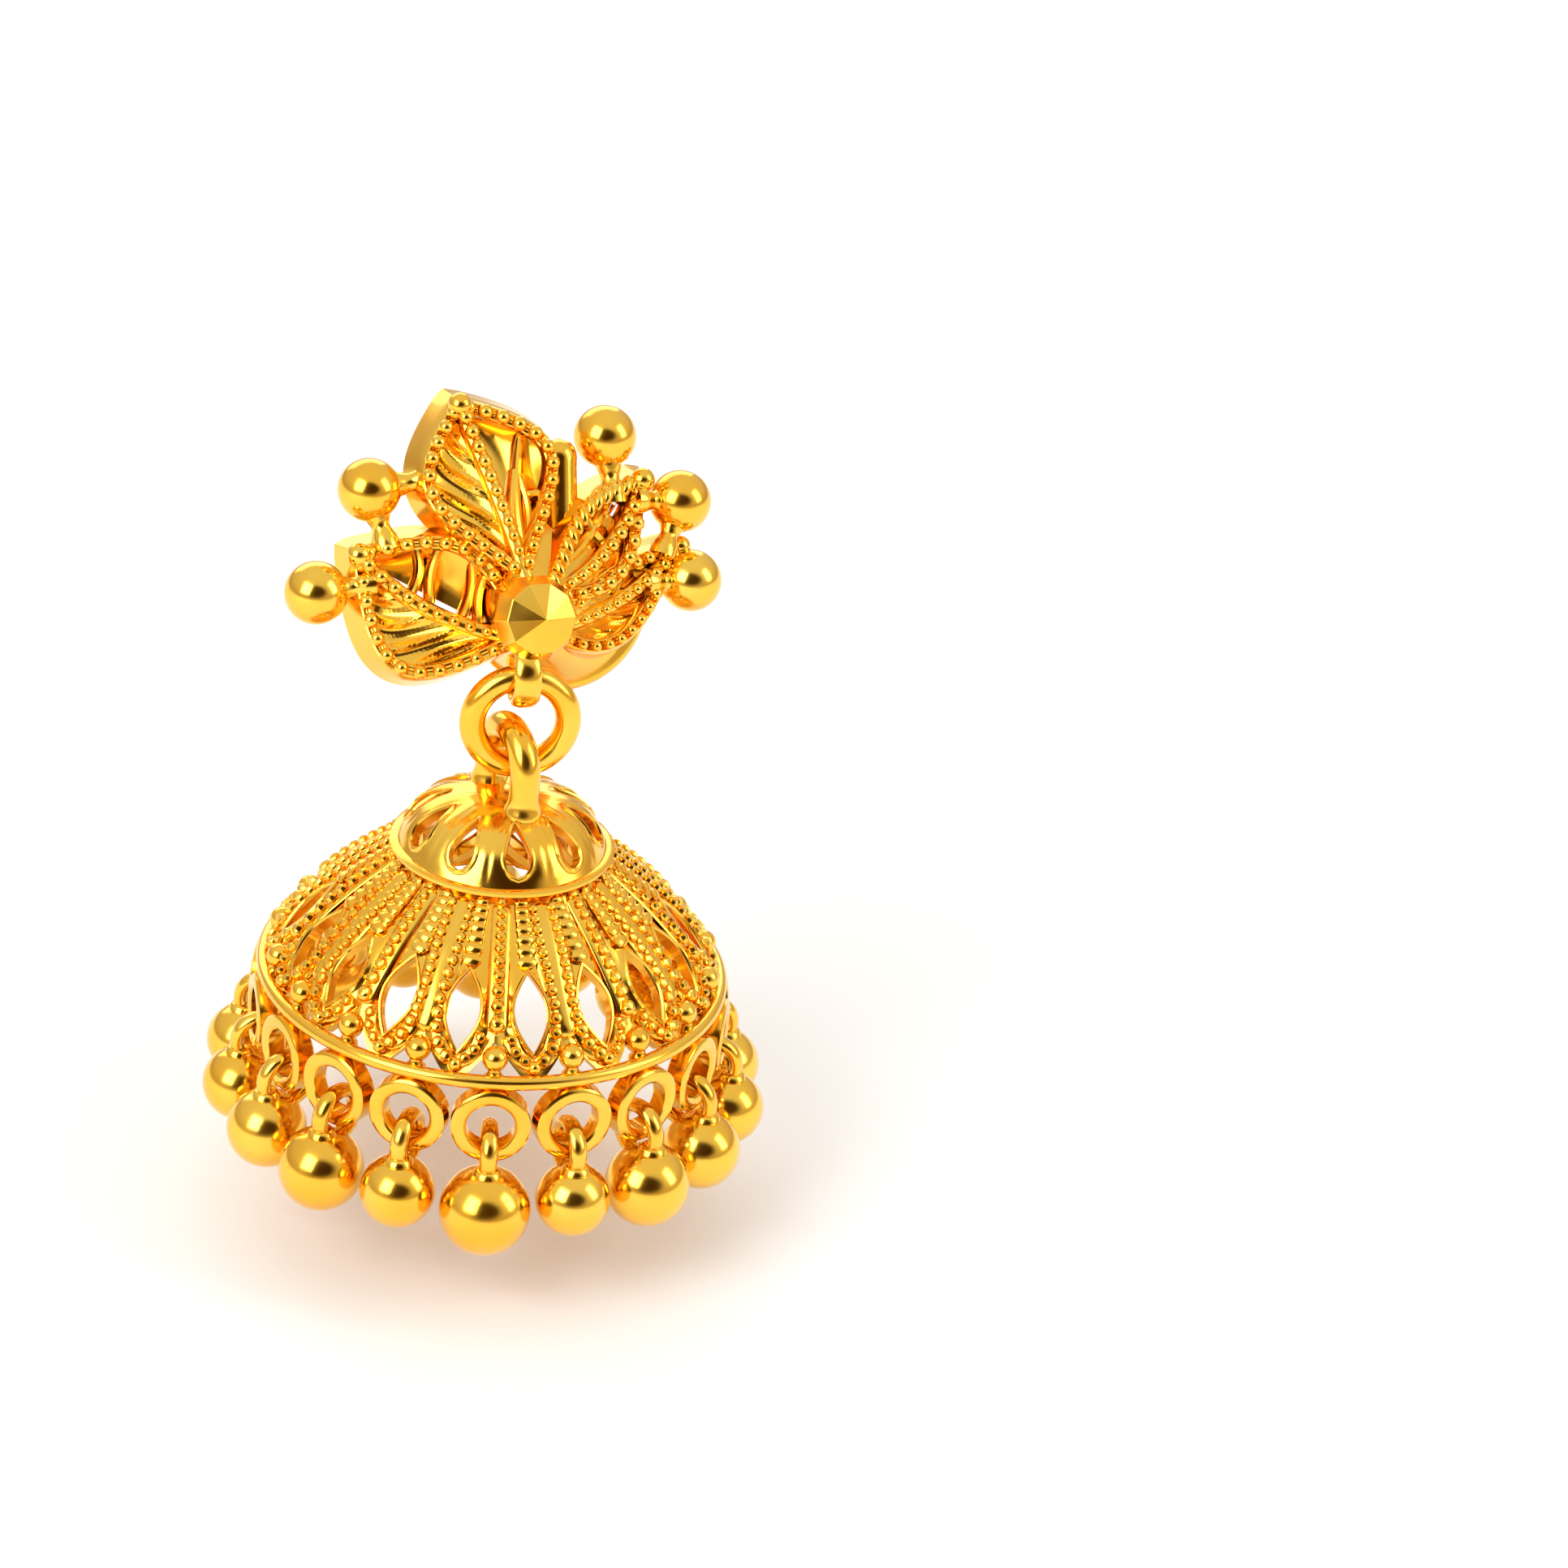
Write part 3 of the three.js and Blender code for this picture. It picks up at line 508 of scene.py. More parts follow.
def flower_point(x, z, back):
    """A point beside the boss, in the flower's upright frame."""
    return np.stack(np.broadcast_arrays(x, back, z), -1) + BOSS_AT


RING_ACROSS = np.array([math.cos(RING_YAW), math.sin(RING_YAW), 0])
RING_FORTH = np.array([-math.sin(RING_YAW), math.cos(RING_YAW), 0])
RING_AT = flower_world(BOSS_AT) + HANG_STEP
BELL_AT = RING_AT + BAIL_SLIDE * RING_ACROSS


def hung(*shapes, at=BELL_AT):
    """Shapes of the hanging line as one, moved to their place: on the bell's axis unless another is given."""
    return shifted(gather(shapes), at)


def leant(*shapes):
    """Shapes of the flower as one, leant back to their place."""
    points, quads = gather(shapes)
    return flower_world(points), quads


def leaf_reach(petal, side, t):
    """Half-width of a petal, on its left for a side of one and on its right for minus one:
    a sine arch whose crest is moved along to its place."""
    width, crest = petal["left"] if side > 0 else petal["right"]
    return width * np.sin(math.pi * t ** (math.log(0.5) / math.log(crest)))


def leaf_flat(petal, t, across):
    """A place beside the midrib in the flower's plane. The midrib is a parabola between root and tip."""
    root, tip = np.array(petal["root"]), np.array(petal["tip"])
    along = tip - root
    side = unit(np.array([-along[1], along[0]]))
    t, across = np.broadcast_arrays(np.asarray(t, float), across)
    shift = 4 * petal["bow"] * t * (1 - t) + across
    return root + along * t[..., None] + side * shift[..., None]


def leaf_back(petal, t):
    """How far the petal's front stands to the back: a straight line from root to tip."""
    root_back, tip_back = petal["back"]
    return root_back + (tip_back - root_back) * t


def leaf_point(petal, t, across, depth):
    """A point of the petal: beside its midrib, and behind its front by a depth."""
    flat = leaf_flat(petal, t, across)
    return flower_point(flat[..., 0], flat[..., 1], leaf_back(petal, t) + depth)


def leaf_border(petal, inset, depth, steps=44, start=0.05):
    """The petal's outline from root to tip and back to the root, moved inwards by insets.
    An inset stops short of the midrib where the petal is narrow."""
    t = np.linspace(start, 1, steps)
    left, right = leaf_reach(petal, 1, t), leaf_reach(petal, -1, t)
    t = np.concatenate([t, t[-2::-1]])
    across = np.concatenate([left, -right[-2::-1]])
    flat = leaf_flat(petal, t, across)
    run = unit(np.gradient(flat, axis=0))
    out = np.stack([-run[:, 1], run[:, 0]], -1)
    inset = np.minimum(inset, 0.9 * np.abs(across)[:, None])
    place = flat[:, None] - out[:, None] * inset[..., None]
    return flower_point(place[..., 0], place[..., 1], leaf_back(petal, t)[:, None] + depth)


def profile_line(rows, count=400):
    """A smooth profile of radius and height, with the length along it and its outward normal."""
    line = flowing(rows, count)
    run = unit(np.gradient(line, axis=0))
    return lengths_along(line), line, np.stack([run[:, 1], -run[:, 0]], -1)


DOME_LINE = profile_line(DOME_PROFILE)
CAP_LINE = profile_line(CAP_PROFILE)
DOME_LENGTH = DOME_LINE[0][-1]
# Half a panel's outline: share of half the pitch, and length up the profile
DOME_CELL = [(0, 0.03), (0.30, 0.12), (1, 1.45), (1, DOME_LENGTH), (0, DOME_LENGTH)]


def bell_point(line, angle, along, lift, foot):
    """A point on a turned profile: at a length along it, lifted along its normal, and turned to an angle."""
    length, rows, normals = line
    radius = np.interp(along, length, rows[:, 0]) + lift * np.interp(along, length, normals[:, 0])
    height = np.interp(along, length, rows[:, 1]) + lift * np.interp(along, length, normals[:, 1])
    angle, radius, height = np.broadcast_arrays(BELL_TURN + np.asarray(angle), radius, height)
    return np.stack([radius * np.sin(angle), -radius * np.cos(angle), foot + height], -1)


def dome_row(angle, along, lift):
    """Places on the dome, given by angles, lengths up the profile and heights above it."""
    return bell_point(DOME_LINE, angle, along, lift, DOME_RIM)


def dome_up(angle, along):
    """Directions straight out of the dome."""
    return dome_row(angle, along, 1.0) - dome_row(angle, along, 0.0)


def row_line(rows, count):
    """A smooth row on the dome from rows of degrees and lengths, which are scaled alike to lay the curve."""
    line = flowing(np.asarray(rows) * ROW_SCALE, count) / ROW_SCALE
    return np.radians(line[:, 0]), line[:, 1]


OUTER_ANGLE, OUTER_ALONG = row_line(OUTER_ROW, 40)
INNER_ANGLE, INNER_ALONG = row_line(INNER_ROW, 14)
# Beside each opening: bands with width and rise, and granules with first and last size and the skips at the ends
SIDE_BANDS = ((OUTER_ANGLE, OUTER_ALONG, 0.34, 0.09), (INNER_ANGLE, INNER_ALONG, 0.30, 0.14))
SIDE_ROWS = ((OUTER_ANGLE, OUTER_ALONG, (1.06, 0.74), (0.45, 0.1)),
             (INNER_ANGLE, INNER_ALONG, (0.85, 0.85), (0.45, 0.2)))


def at_panels(radius, height):
    """Points on a circle round the bell's axis, one to a panel, at one height or at a height each."""
    across, away = radius * np.sin(PANEL_ANGLES), -radius * np.cos(PANEL_ANGLES)
    return np.stack(np.broadcast_arrays(across, away, height), -1)


def both_sides(half, top):
    """A closed outline from its right half, which runs up from the foot, and its top point."""
    left = half[1:][::-1] * np.array([-1, 1])
    return np.concatenate([half, np.array([top], float), left])


def opening(line, span, steps, half_width):
    """The outline of an opening in angle and length. A function of the share from foot to top
    gives half its width."""
    low, high = span
    share = np.linspace(0, 1, steps, endpoint=False)
    along = low + (high - low) * share
    radius = np.interp(along, line[0], line[1][:, 0])
    return both_sides(np.stack([half_width(share) / radius, along], -1), (0, high))


def cell_outline(corners, counts):
    """The outline of a cell from the corners of its right half: points along straight lines between them,
    so many to each line."""
    runs = zip(np.array(corners[:-1], float), np.array(corners[1:], float), counts)
    half = np.concatenate([np.linspace(a, b, count, endpoint=False) for a, b, count in runs])
    return both_sides(half, corners[-1])


def pierced_cells(line, foot, inner, outer, relief, wall, centres, steps):
    """A ring of sheet round each opening: straight lines in angle and length run from the opening's outline
    to the cell's outline, with their points crowded at the opening. The sheet is lifted by a relief
    that depends on both and on the distance from the opening, and closed by an inner face."""
    share = np.linspace(0, 1, steps)[None, :, None] ** CELL_CROWDING
    cell = inner[:, None] * (1 - share) + outer[:, None] * share
    angle, along = cell[..., 0], cell[..., 1]
    radius = np.interp(along, line[0], line[1][:, 0])
    away = np.hypot((angle - inner[:, None, 0]) * radius, along - inner[:, None, 1])
    rise = relief(angle, along, share[..., 0] + 0 * away, away)
    shapes = []
    for centre in centres:
        front = bell_point(line, centre + angle, along, rise, foot)
        back = bell_point(line, centre + angle, along, np.minimum(rise, 0) - wall, foot)
        ring = np.concatenate([front, back[:, ::-1]], axis=1)
        shapes.append(outward(sheet(ring, close_rows=True, close_cols=True)))
    return gather(shapes)


# Looks

def add_node(tree, kind, **values):
    """A new shader node with values on its inputs. An underscore stands for a space in an input's name."""
    made = tree.nodes.new("ShaderNode" + kind)
    for name, value in values.items():
        made.inputs[name.replace("_", " ")].default_value = value
    return made


def join(tree, *runs):
    """Links in a node tree: each run is a node, its output, the next node and its input."""
    for start, output, end, entry in runs:
        tree.links.new(start.outputs[output], end.inputs[entry])


def set_ramp(ramp, stops):
    """Places and colours of a ramp: the first two go to its own stops, the others to new ones."""
    tones = ramp.color_ramp.elements
    for number, (at, tone) in enumerate(stops):
        stop = tones[number] if number < 2 else tones.new(at)
        stop.position = at
        stop.color = (*tone, 1)


def gold(slot):
    """Gold: a metal whose colour drifts between two golds, and whose polish and surface vary with a fine noise."""
    name, finish = GOLDS[slot]
    material = bpy.data.materials.get(name)
    if material is not None:
        return material
    settings = bpy.context.scene.earring_gold
    rough = getattr(settings, finish)
    material = bpy.data.materials.new(name)
    material.use_nodes = True
    tree = material.node_tree
    tree.nodes.clear()
    output = add_node(tree, "OutputMaterial")
    shader = add_node(tree, "BsdfPrincipled", Metallic=1.0, Coat_Weight=COAT, Coat_Roughness=COAT_ROUGHNESS)
    place = add_node(tree, "TexCoord")
    cloud = add_node(tree, "TexNoise", Scale=CLOUD_SHARE / settings.grain)
    grain = add_node(tree, "TexNoise", Scale=1.0 / settings.grain, Detail=GRAIN_DETAIL)
    ramp = add_node(tree, "ValToRGB")
    polish = add_node(tree, "MapRange", To_Min=POLISH_LOW * rough, To_Max=POLISH_HIGH * rough)
    bump = add_node(tree, "Bump", Strength=BUMP_STRENGTH, Distance=BUMP_DISTANCE)
    set_ramp(ramp, [(0.35, settings.deep), (0.65, settings.light)])
    join(tree, (place, "Object", cloud, "Vector"), (place, "Object", grain, "Vector"),
         (cloud, "Fac", ramp, "Fac"), (ramp, "Color", shader, "Base Color"),
         (grain, "Fac", polish, "Value"), (polish, "Result", shader, "Roughness"),
         (grain, "Fac", bump, "Height"), (bump, "Normal", shader, "Normal"),
         (shader, "BSDF", output, "Surface"))
    return material


# Operators

class EARRING_OT_petals(bpy.types.Operator):
    """Four leaf petals: a flared border, a midrib, a veined half and an open half with ribbons"""
    bl_idname = "earring.petals"
    bl_label = "Petals"

    def border(self, petal):
        """The border's section carried along the outline."""
        return bar(leaf_border(petal, BORDER_SECTION[:, 0], BORDER_SECTION[:, 1]))

    def midrib(self, petal):
        """The rib's section, narrowed to nothing at the tip, carried from root to tip."""
        t = np.linspace(*RIB_SPAN, 30)[:, None]
        narrow = np.minimum(1, (RIB_END - t) * RIB_TAPER)
        return bar(leaf_point(petal, t, RIB_SECTION[:, 0] * narrow, RIB_SECTION[:, 1]))

    def veined_half(self, petal, veins):
        """A hollow sheet between midrib and border. Veins are raised cosines of the place along,
        pulled towards the tip as they run outwards, with fine lines between."""
        t = np.linspace(*VEINED_SPAN, 110)[:, None]
        u = np.linspace(0, 1, 20)[None, :]
        side = -petal["open"]
        outer = np.maximum(leaf_reach(petal, side, t) - VEINED_FROM_BORDER, VEINED_LEAST)
        across = side * (VEINED_FROM_RIB + (outer - VEINED_FROM_RIB) * u)
        phase = TURN * veins * (t - VEIN_PULL * u)
        vein = VEIN_RISE * (0.5 + 0.5 * np.cos(phase)) ** 3 + FINE_RISE * np.cos(FINE_VEINS * phase)
        arch = np.sin(math.pi * u)
        depth = VEINED_DEPTH + VEINED_HOLLOW * arch - vein * arch**VEINED_FADE
        return walled(leaf_point(petal, t, across, depth), leaf_point(petal, t, across, VEINED_BACK + 0 * depth))

    def open_half(self, petal):
        """A bowl inside the open half: a sheet that falls from the border along a quarter sine and stops
        short of the midrib, which leaves a slot."""
        t = np.linspace(*BOWL_SPAN, 60)[:, None]
        u = np.linspace(0, 1, 12)[None, :]
        side = petal["open"]
        reach = leaf_reach(petal, side, t)
        across = side * (reach * (1 - BOWL_REACH * u) - BOWL_FROM_BORDER * (1 - u))
        depth = BOWL_TOP + BOWL_FALL * np.sin(math.pi / 2 * u)
        return walled(leaf_point(petal, t, across, depth), leaf_point(petal, t, across, depth + BOWL_WALL))

    def ribbon(self, number, start, start_share, end, end_share, bulge):
        """A flat wire between two places of the open half: a straight line with a sine bulge."""
        petal = PETALS[number]
        side = petal["open"]
        t = np.array([start, end])
        across = side * np.array([start_share, end_share]) * leaf_reach(petal, side, t)
        first, last = leaf_point(petal, t, across, RIBBON_DEPTH)
        run = last - first
        swing = unit(np.array([-run[2], 0, run[0]]))
        s = np.linspace(0, 1, RIBBON_STEPS)[:, None]
        path = first + run * s + swing * bulge * np.sin(math.pi * s)
        return tube(path, RIBBON_HALF * rounded(RIBBON_STEPS, 0.08), 12, BACK, flat=RIBBON_FLAT)

    def execute(self, context):
        veins = context.scene.earring_flower.veins
        shapes = []
        for petal in PETALS:
            shapes += [self.border(petal), self.midrib(petal)]
            shapes += [self.veined_half(petal, veins), self.open_half(petal)]
        shapes += [self.ribbon(*row) for row in RIBBONS]
        piece("petals", leant(*shapes), "flower", ["flower_top"], "cast_gold")
        return {"FINISHED"}


class EARRING_OT_petal_granules(bpy.types.Operator):
    """Rows of granules on the petals' borders and midribs, with a larger one at each tip"""
    bl_idname = "earring.petal_granules"
    bl_label = "Petal granules"

    def slanted(self, at, size):
        """Long granules set across a row and leant along it, like the strands of a rope."""
        run = unit(np.gradient(at, axis=0))
        back = np.broadcast_to(BACK, run.shape)
        slant = unit(np.cross(run, back) + ROPE_SLANT * run)
        axes = np.stack([slant, back, np.cross(slant, back)], 1)
        return balls(at, size[:, None] * ROPE_RADII, 12, 8, axes)

    def execute(self, context):
        sizes = context.scene.earring_flower
        full, pitch = sizes.granule / MM, sizes.pitch / MM
        shapes = []
        for petal in PETALS:
            radius = full * min(1, NARROW_GRANULE + GRANULE_PER_WIDTH * petal["left"][0])
            line = leaf_border(petal, [BORDER_GRANULE_INSET], [BORDER_GRANULE_DEPTH])[:, 0]
            tip = len(line) // 2
            for side, rope in ((line[: tip + 1], petal["rope"]), (line[tip:][::-1], False)):
                at = spaced(side, ROPE_PITCH * pitch if rope else pitch, *BORDER_SKIPS)
                size = np.linspace(*BORDER_GRANULES, len(at)) * radius
                shapes.append(self.slanted(at, size) if rope else balls(at, size, 10, 6))
            end = leaf_point(petal, np.array([TIP_GRANULE_AT]), 0.0, TIP_GRANULE_DEPTH)
            shapes.append(balls(end, TIP_GRANULE * radius, 18, 12))
            t = np.linspace(*RIB_GRANULE_SPAN, 60)
            rib = spaced(leaf_point(petal, t, 0 * t, RIB_GRANULE_DEPTH), RIB_GRANULE_PITCH * pitch)
            shapes.append(balls(rib, np.linspace(*RIB_GRANULES, len(rib)) * radius, 10, 6))
        piece("petal_granules", leant(*shapes), "flower", ["flower_top"], "cast_gold")
        return {"FINISHED"}


class EARRING_OT_boss(bpy.types.Operator):
    """Faceted boss in the middle of the flower"""
    bl_idname = "earring.boss"
    bl_label = "Boss"

    def execute(self, context):
        shape = placed(turned(BOSS_ROWS, BOSS_FACETS), lambda points: along_y(points * (1, 1, -1)) + BOSS_AT)
        made = piece("flower_boss", leant(shape), "flower", ["flower_top"], "polished_gold", crease=None)
        edge = made.modifiers.new("Edges", "BEVEL")
        edge.width = BOSS_EDGE * MM
        edge.segments = 2
        edge.limit_method = "ANGLE"
        return {"FINISHED"}


class EARRING_OT_flower_balls(bpy.types.Operator):
    """Five balls round the flower, on waisted necks"""
    bl_idname = "earring.flower_balls"
    bl_label = "Flower balls"

    def execute(self, context):
        radius = context.scene.earring_flower.ball / MM
        centres = np.array([flower_point(*row["at"], BALL_BACK) for row in FLOWER_BALLS])
        shapes = [balls(centres, radius, 48, 28)]
        s = np.linspace(0, 1, 16)
        neck = NECK_RADIUS - WAIST_DEPTH * hump(s - WAIST_AT, WAIST_SPREAD)
        for centre, row in zip(centres, FLOWER_BALLS):
            for foot in row["feet"]:
                path = centre + (flower_point(*foot, NECK_BACK) - centre) * s[:, None]
                shapes.append(tube(path, neck, 20, BACK))
        piece("flower_balls", leant(*shapes), "flower", ["flower_top"], "polished_gold")
        return {"FINISHED"}


class EARRING_OT_backing(bpy.types.Operator):
    """Hub, backing plate, tab, threaded post and hanging loop behind and under the flower"""
    bl_idname = "earring.backing"
    bl_label = "Backing"

    def hub(self):
        """Circles drawn straight from a small one behind the boss to a large one at the plate."""
        s = np.linspace(0, 1, 10)[:, None, None]
        small = circle(BOSS_AT + (0, HUB_BEHIND_BOSS, 0), HUB_RADIUS, RIGHT, UP, 48)
        large = circle((0, PLATE_MIDDLE, 0), HUB_FOOT_RADIUS, RIGHT, UP, 48)
        return bar(small * (1 - s) + large * s)

    def tab(self):
        """A round-ended rod."""
        path = np.linspace(*(flower_point(*end) for end in TAB_ENDS), 30)
        return tube(path, TAB_RADIUS * rounded(30, 0.14), 24, BACK)

    def post(self):
        """A rod whose radius waves along its rear part, which makes the thread's crests."""
        start, end = POST_SPAN
        along = np.linspace(start, end, 180)
        wave = THREAD_DEPTH * (np.cos(TURN * along / THREAD_PITCH) - 1)
        wave = np.where((along > THREAD_SPAN[0]) & (along < THREAD_SPAN[1]), wave, 0)
        rows = np.stack([POST_RADIUS + wave, along], -1)
        rows = np.concatenate([[(0, start)], rows, [(POST_END_RADIUS, end), (0, end)]])
        return placed(turned(rows, 20), along_y)

    def loop(self):
        """A wide wire ring, plumb under the leaning boss."""
        bottom = -RING_DROP + RING_RADIUS - RING_WIRE - LINK_GAP - LOOP_WIRE
        path = circle((0, 0, bottom + LOOP_RADIUS), LOOP_RADIUS, RING_FORTH, UP, 48)
        wire = tube(path, LOOP_WIDTH, 18, RING_ACROSS, close=True, flat=LOOP_THICKNESS / LOOP_WIDTH)
        return hung(wire, at=RING_AT)

    def execute(self, context):
        plate = placed(turned(PLATE_ROWS, 72), along_y)
        behind = leant(self.hub(), plate, self.tab(), self.post())
        piece("flower_backing", gather([behind, self.loop()]), "flower", ["flower_top"], "polished_gold")
        return {"FINISHED"}


class EARRING_OT_screw_back(bpy.types.Operator):
    """Round screw-back disc on the post, with a knurled edge"""
    bl_idname = "earring.screw_back"
    bl_label = "Screw back"

    def knurl(self, points):
        """Shallow waves round the edge, where the radius is largest."""
        angle = np.arctan2(points[:, 1], points[:, 0])
        radius = np.hypot(points[:, 0], points[:, 1])
        cut = KNURL_DEPTH * (np.cos(KNURLS * angle) - 1) * (radius > KNURL_FROM)
        return along_y(points * np.stack([1 + cut, 1 + cut, np.ones_like(cut)], -1))

    def execute(self, context):
        disc = placed(turned(SCREW_BACK_ROWS, 6 * KNURLS, close=True), self.knurl)
        piece("screw_back", leant(disc), "flower", ["ear_nut"], "polished_gold")
        return {"FINISHED"}


class EARRING_OT_jump_ring(bpy.types.Operator):
    """Round wire ring that joins flower and bell"""
    bl_idname = "earring.jump_ring"
    bl_label = "Jump ring"

    def execute(self, context):
        path = circle((0, 0, -RING_DROP), RING_RADIUS, RING_ACROSS, UP, 96)
        wire = tube(path, RING_WIRE, 24, RING_FORTH, close=True)
        piece("jump_ring_wire", hung(wire, at=RING_AT), "ring", ["jump_ring"], "polished_gold")
        return {"FINISHED"}


class EARRING_OT_bail(bpy.types.Operator):
    """Wire bail on top of the cap: two legs under a half circle, thicker at their feet"""
    bl_idname = "earring.bail"
    bl_label = "Bail"

    def execute(self, context):
        foot = CAP_TOP - BAIL_SUNK
        leg = np.linspace(foot, BAIL_PIVOT, BAIL_LEG_STEPS, endpoint=False)
        angle = np.linspace(0, math.pi, 37)
        aside = np.full(BAIL_LEG_STEPS, BAIL_RADIUS)
        y = np.concatenate([-aside, -BAIL_RADIUS * np.cos(angle), aside])
        z = np.concatenate([leg, BAIL_PIVOT + BAIL_RADIUS * np.sin(angle), leg[::-1]])
        radius = BAIL_WIRE * (1 + BAIL_SWELL * hump(z - foot, BAIL_SWELL_HEIGHT))
        path = turn_z(np.stack([0 * y, y, z], -1), BAIL_YAW)
        wire = tube(path, radius, 24, turn_z(np.array(RIGHT), BAIL_YAW))
        piece("bail_wire", hung(wire), "bell", ["bell_cap"], "polished_gold")
        return {"FINISHED"}


class EARRING_OT_cap(bpy.types.Operator):
    """Lobed cap with drop-shaped openings, their raised edges and the flange"""
    bl_idname = "earring.cap"
    bl_label = "Cap"

    def drop(self, share):
        """Half the width of an opening: a half-round foot under sides that close to a point."""
        foot = np.clip(share / DROP_HOLE_FOOT, 0, 1)
        sides = np.clip((1 - share) / DROP_HOLE_SIDES, 0, 1) ** 0.8
        return DROP_HOLE_HALF * np.sqrt(foot * (2 - foot)) * sides

    def relief(self, angle, along, share, away):
        """Lobes swell between the openings, with a fine crease down each and a raised edge round each opening."""
        arch = np.sin(math.pi * np.interp(along, CAP_LINE[0], CAP_LINE[1][:, 1]) / CAP_HEIGHT)
        lobe = -CAP_LOBE_DEPTH * np.cos(CAP_LOBES * angle)
        crease = -CREASE_DEPTH * hump((np.abs(angle) - math.pi / CAP_LOBES) * CREASE_RADIUS, CREASE_WIDTH)
        return (lobe + crease) * arch + CAP_EDGE_RISE * hump(away, CAP_EDGE_WIDTH)

    def execute(self, context):
        inner = opening(CAP_LINE, DROP_HOLE_SPAN, 20, self.drop)
        edge = math.pi / CAP_LOBES
        outer = cell_outline([(0, 0), (edge, 0), (edge, CAP_CELL_TOP), (0, CAP_CELL_TOP)], (5, 11, 4))
        centres = CAP_TURN - BELL_TURN + TURN * np.arange(CAP_LOBES) / CAP_LOBES
        shapes = [pierced_cells(CAP_LINE, CAP_RIM, inner, outer, self.relief, CAP_WALL, centres, 9)]
        angle, along = inner.T
        rise = CAP_WIRE_LIFT + self.relief(angle, along, 0, 2 * CAP_EDGE_WIDTH)
        for centre in centres:
            line = bell_point(CAP_LINE, centre + angle, along, rise, CAP_RIM)
            shapes.append(tube(line, CAP_EDGE_WIRE, 6, dome_up(centre, CAP_WIRE_UP), close=True))
        shapes.append(turned(np.array(LID_ROWS) + (0, CAP_TOP), 60))
        shapes.append(turned(np.array(FLANGE_ROWS) + (CAP_FLANGE, CAP_RIM), 120, close=True))
        piece("cap_shell", hung(*shapes), "bell", ["bell_cap"], "cast_gold")
        return {"FINISHED"}


class EARRING_OT_dome(bpy.types.Operator):
    """Pierced dome: sheet round the openings, their raised edges, and raised bands between"""
    bl_idname = "earring.dome"
    bl_label = "Dome"

    def relief(self, angle, along, share, away):
        """A raised edge round each opening, and a hollow flute between it and the bands."""
        return OPENING_EDGE_RISE * hump(away, OPENING_EDGE_WIDTH) - FLUTE_DEPTH * np.sin(math.pi * share) ** 2

    def band(self, angle, along, width, rise):
        """A low rounded strip along a row, as wide and as high as asked, with round ends."""
        path = dome_row(angle, along, 0.0)
        return tube(path, rise * rounded(len(path), 0.08), 12, dome_up(angle, along), flat=width / rise)

    def execute(self, context):
        wall = context.scene.earring_bell.wall / MM
        inner = opening(DOME_LINE, OPENING_SPAN, 24, lambda share: OPENING_HALF * np.sin(math.pi * share))
        outer = cell_outline(np.array(DOME_CELL) * (HALF_PITCH, 1), (3, 6, 11, 4))
        centres = HALF_PITCH + PITCH * np.arange(PANELS)
        shapes = [pierced_cells(DOME_LINE, DOME_RIM, inner, outer, self.relief, wall, centres, 10)]
        middle_band, plain_band = np.linspace(*MIDDLE_BAND, 30), np.linspace(*PLAIN_BAND, 30)
        top_band = np.linspace(*TOP_BAND, 20)
        for centre in centres:
            line = dome_row(centre + inner[:, 0], inner[:, 1], OPENING_WIRE_LIFT)
            shapes.append(tube(line, OPENING_EDGE_WIRE, 6, dome_up(centre, OPENING_MIDDLE), close=True))
            shapes.append(self.band(centre, top_band, width=0.30, rise=0.16))
        for middle in 2 * PITCH * np.arange(MOTIFS):
            shapes.append(self.band(middle, middle_band, width=0.40, rise=0.11))
            shapes.append(self.band(middle + PITCH, plain_band, width=0.45, rise=0.2))
            for side in (1, -1):
                for angle, along, width, rise in SIDE_BANDS:
                    shapes.append(self.band(middle + side * (HALF_PITCH + angle), along, width, rise))
        piece("dome_sheet", hung(*shapes), "bell", ["bell_dome"], "cast_gold")
        return {"FINISHED"}


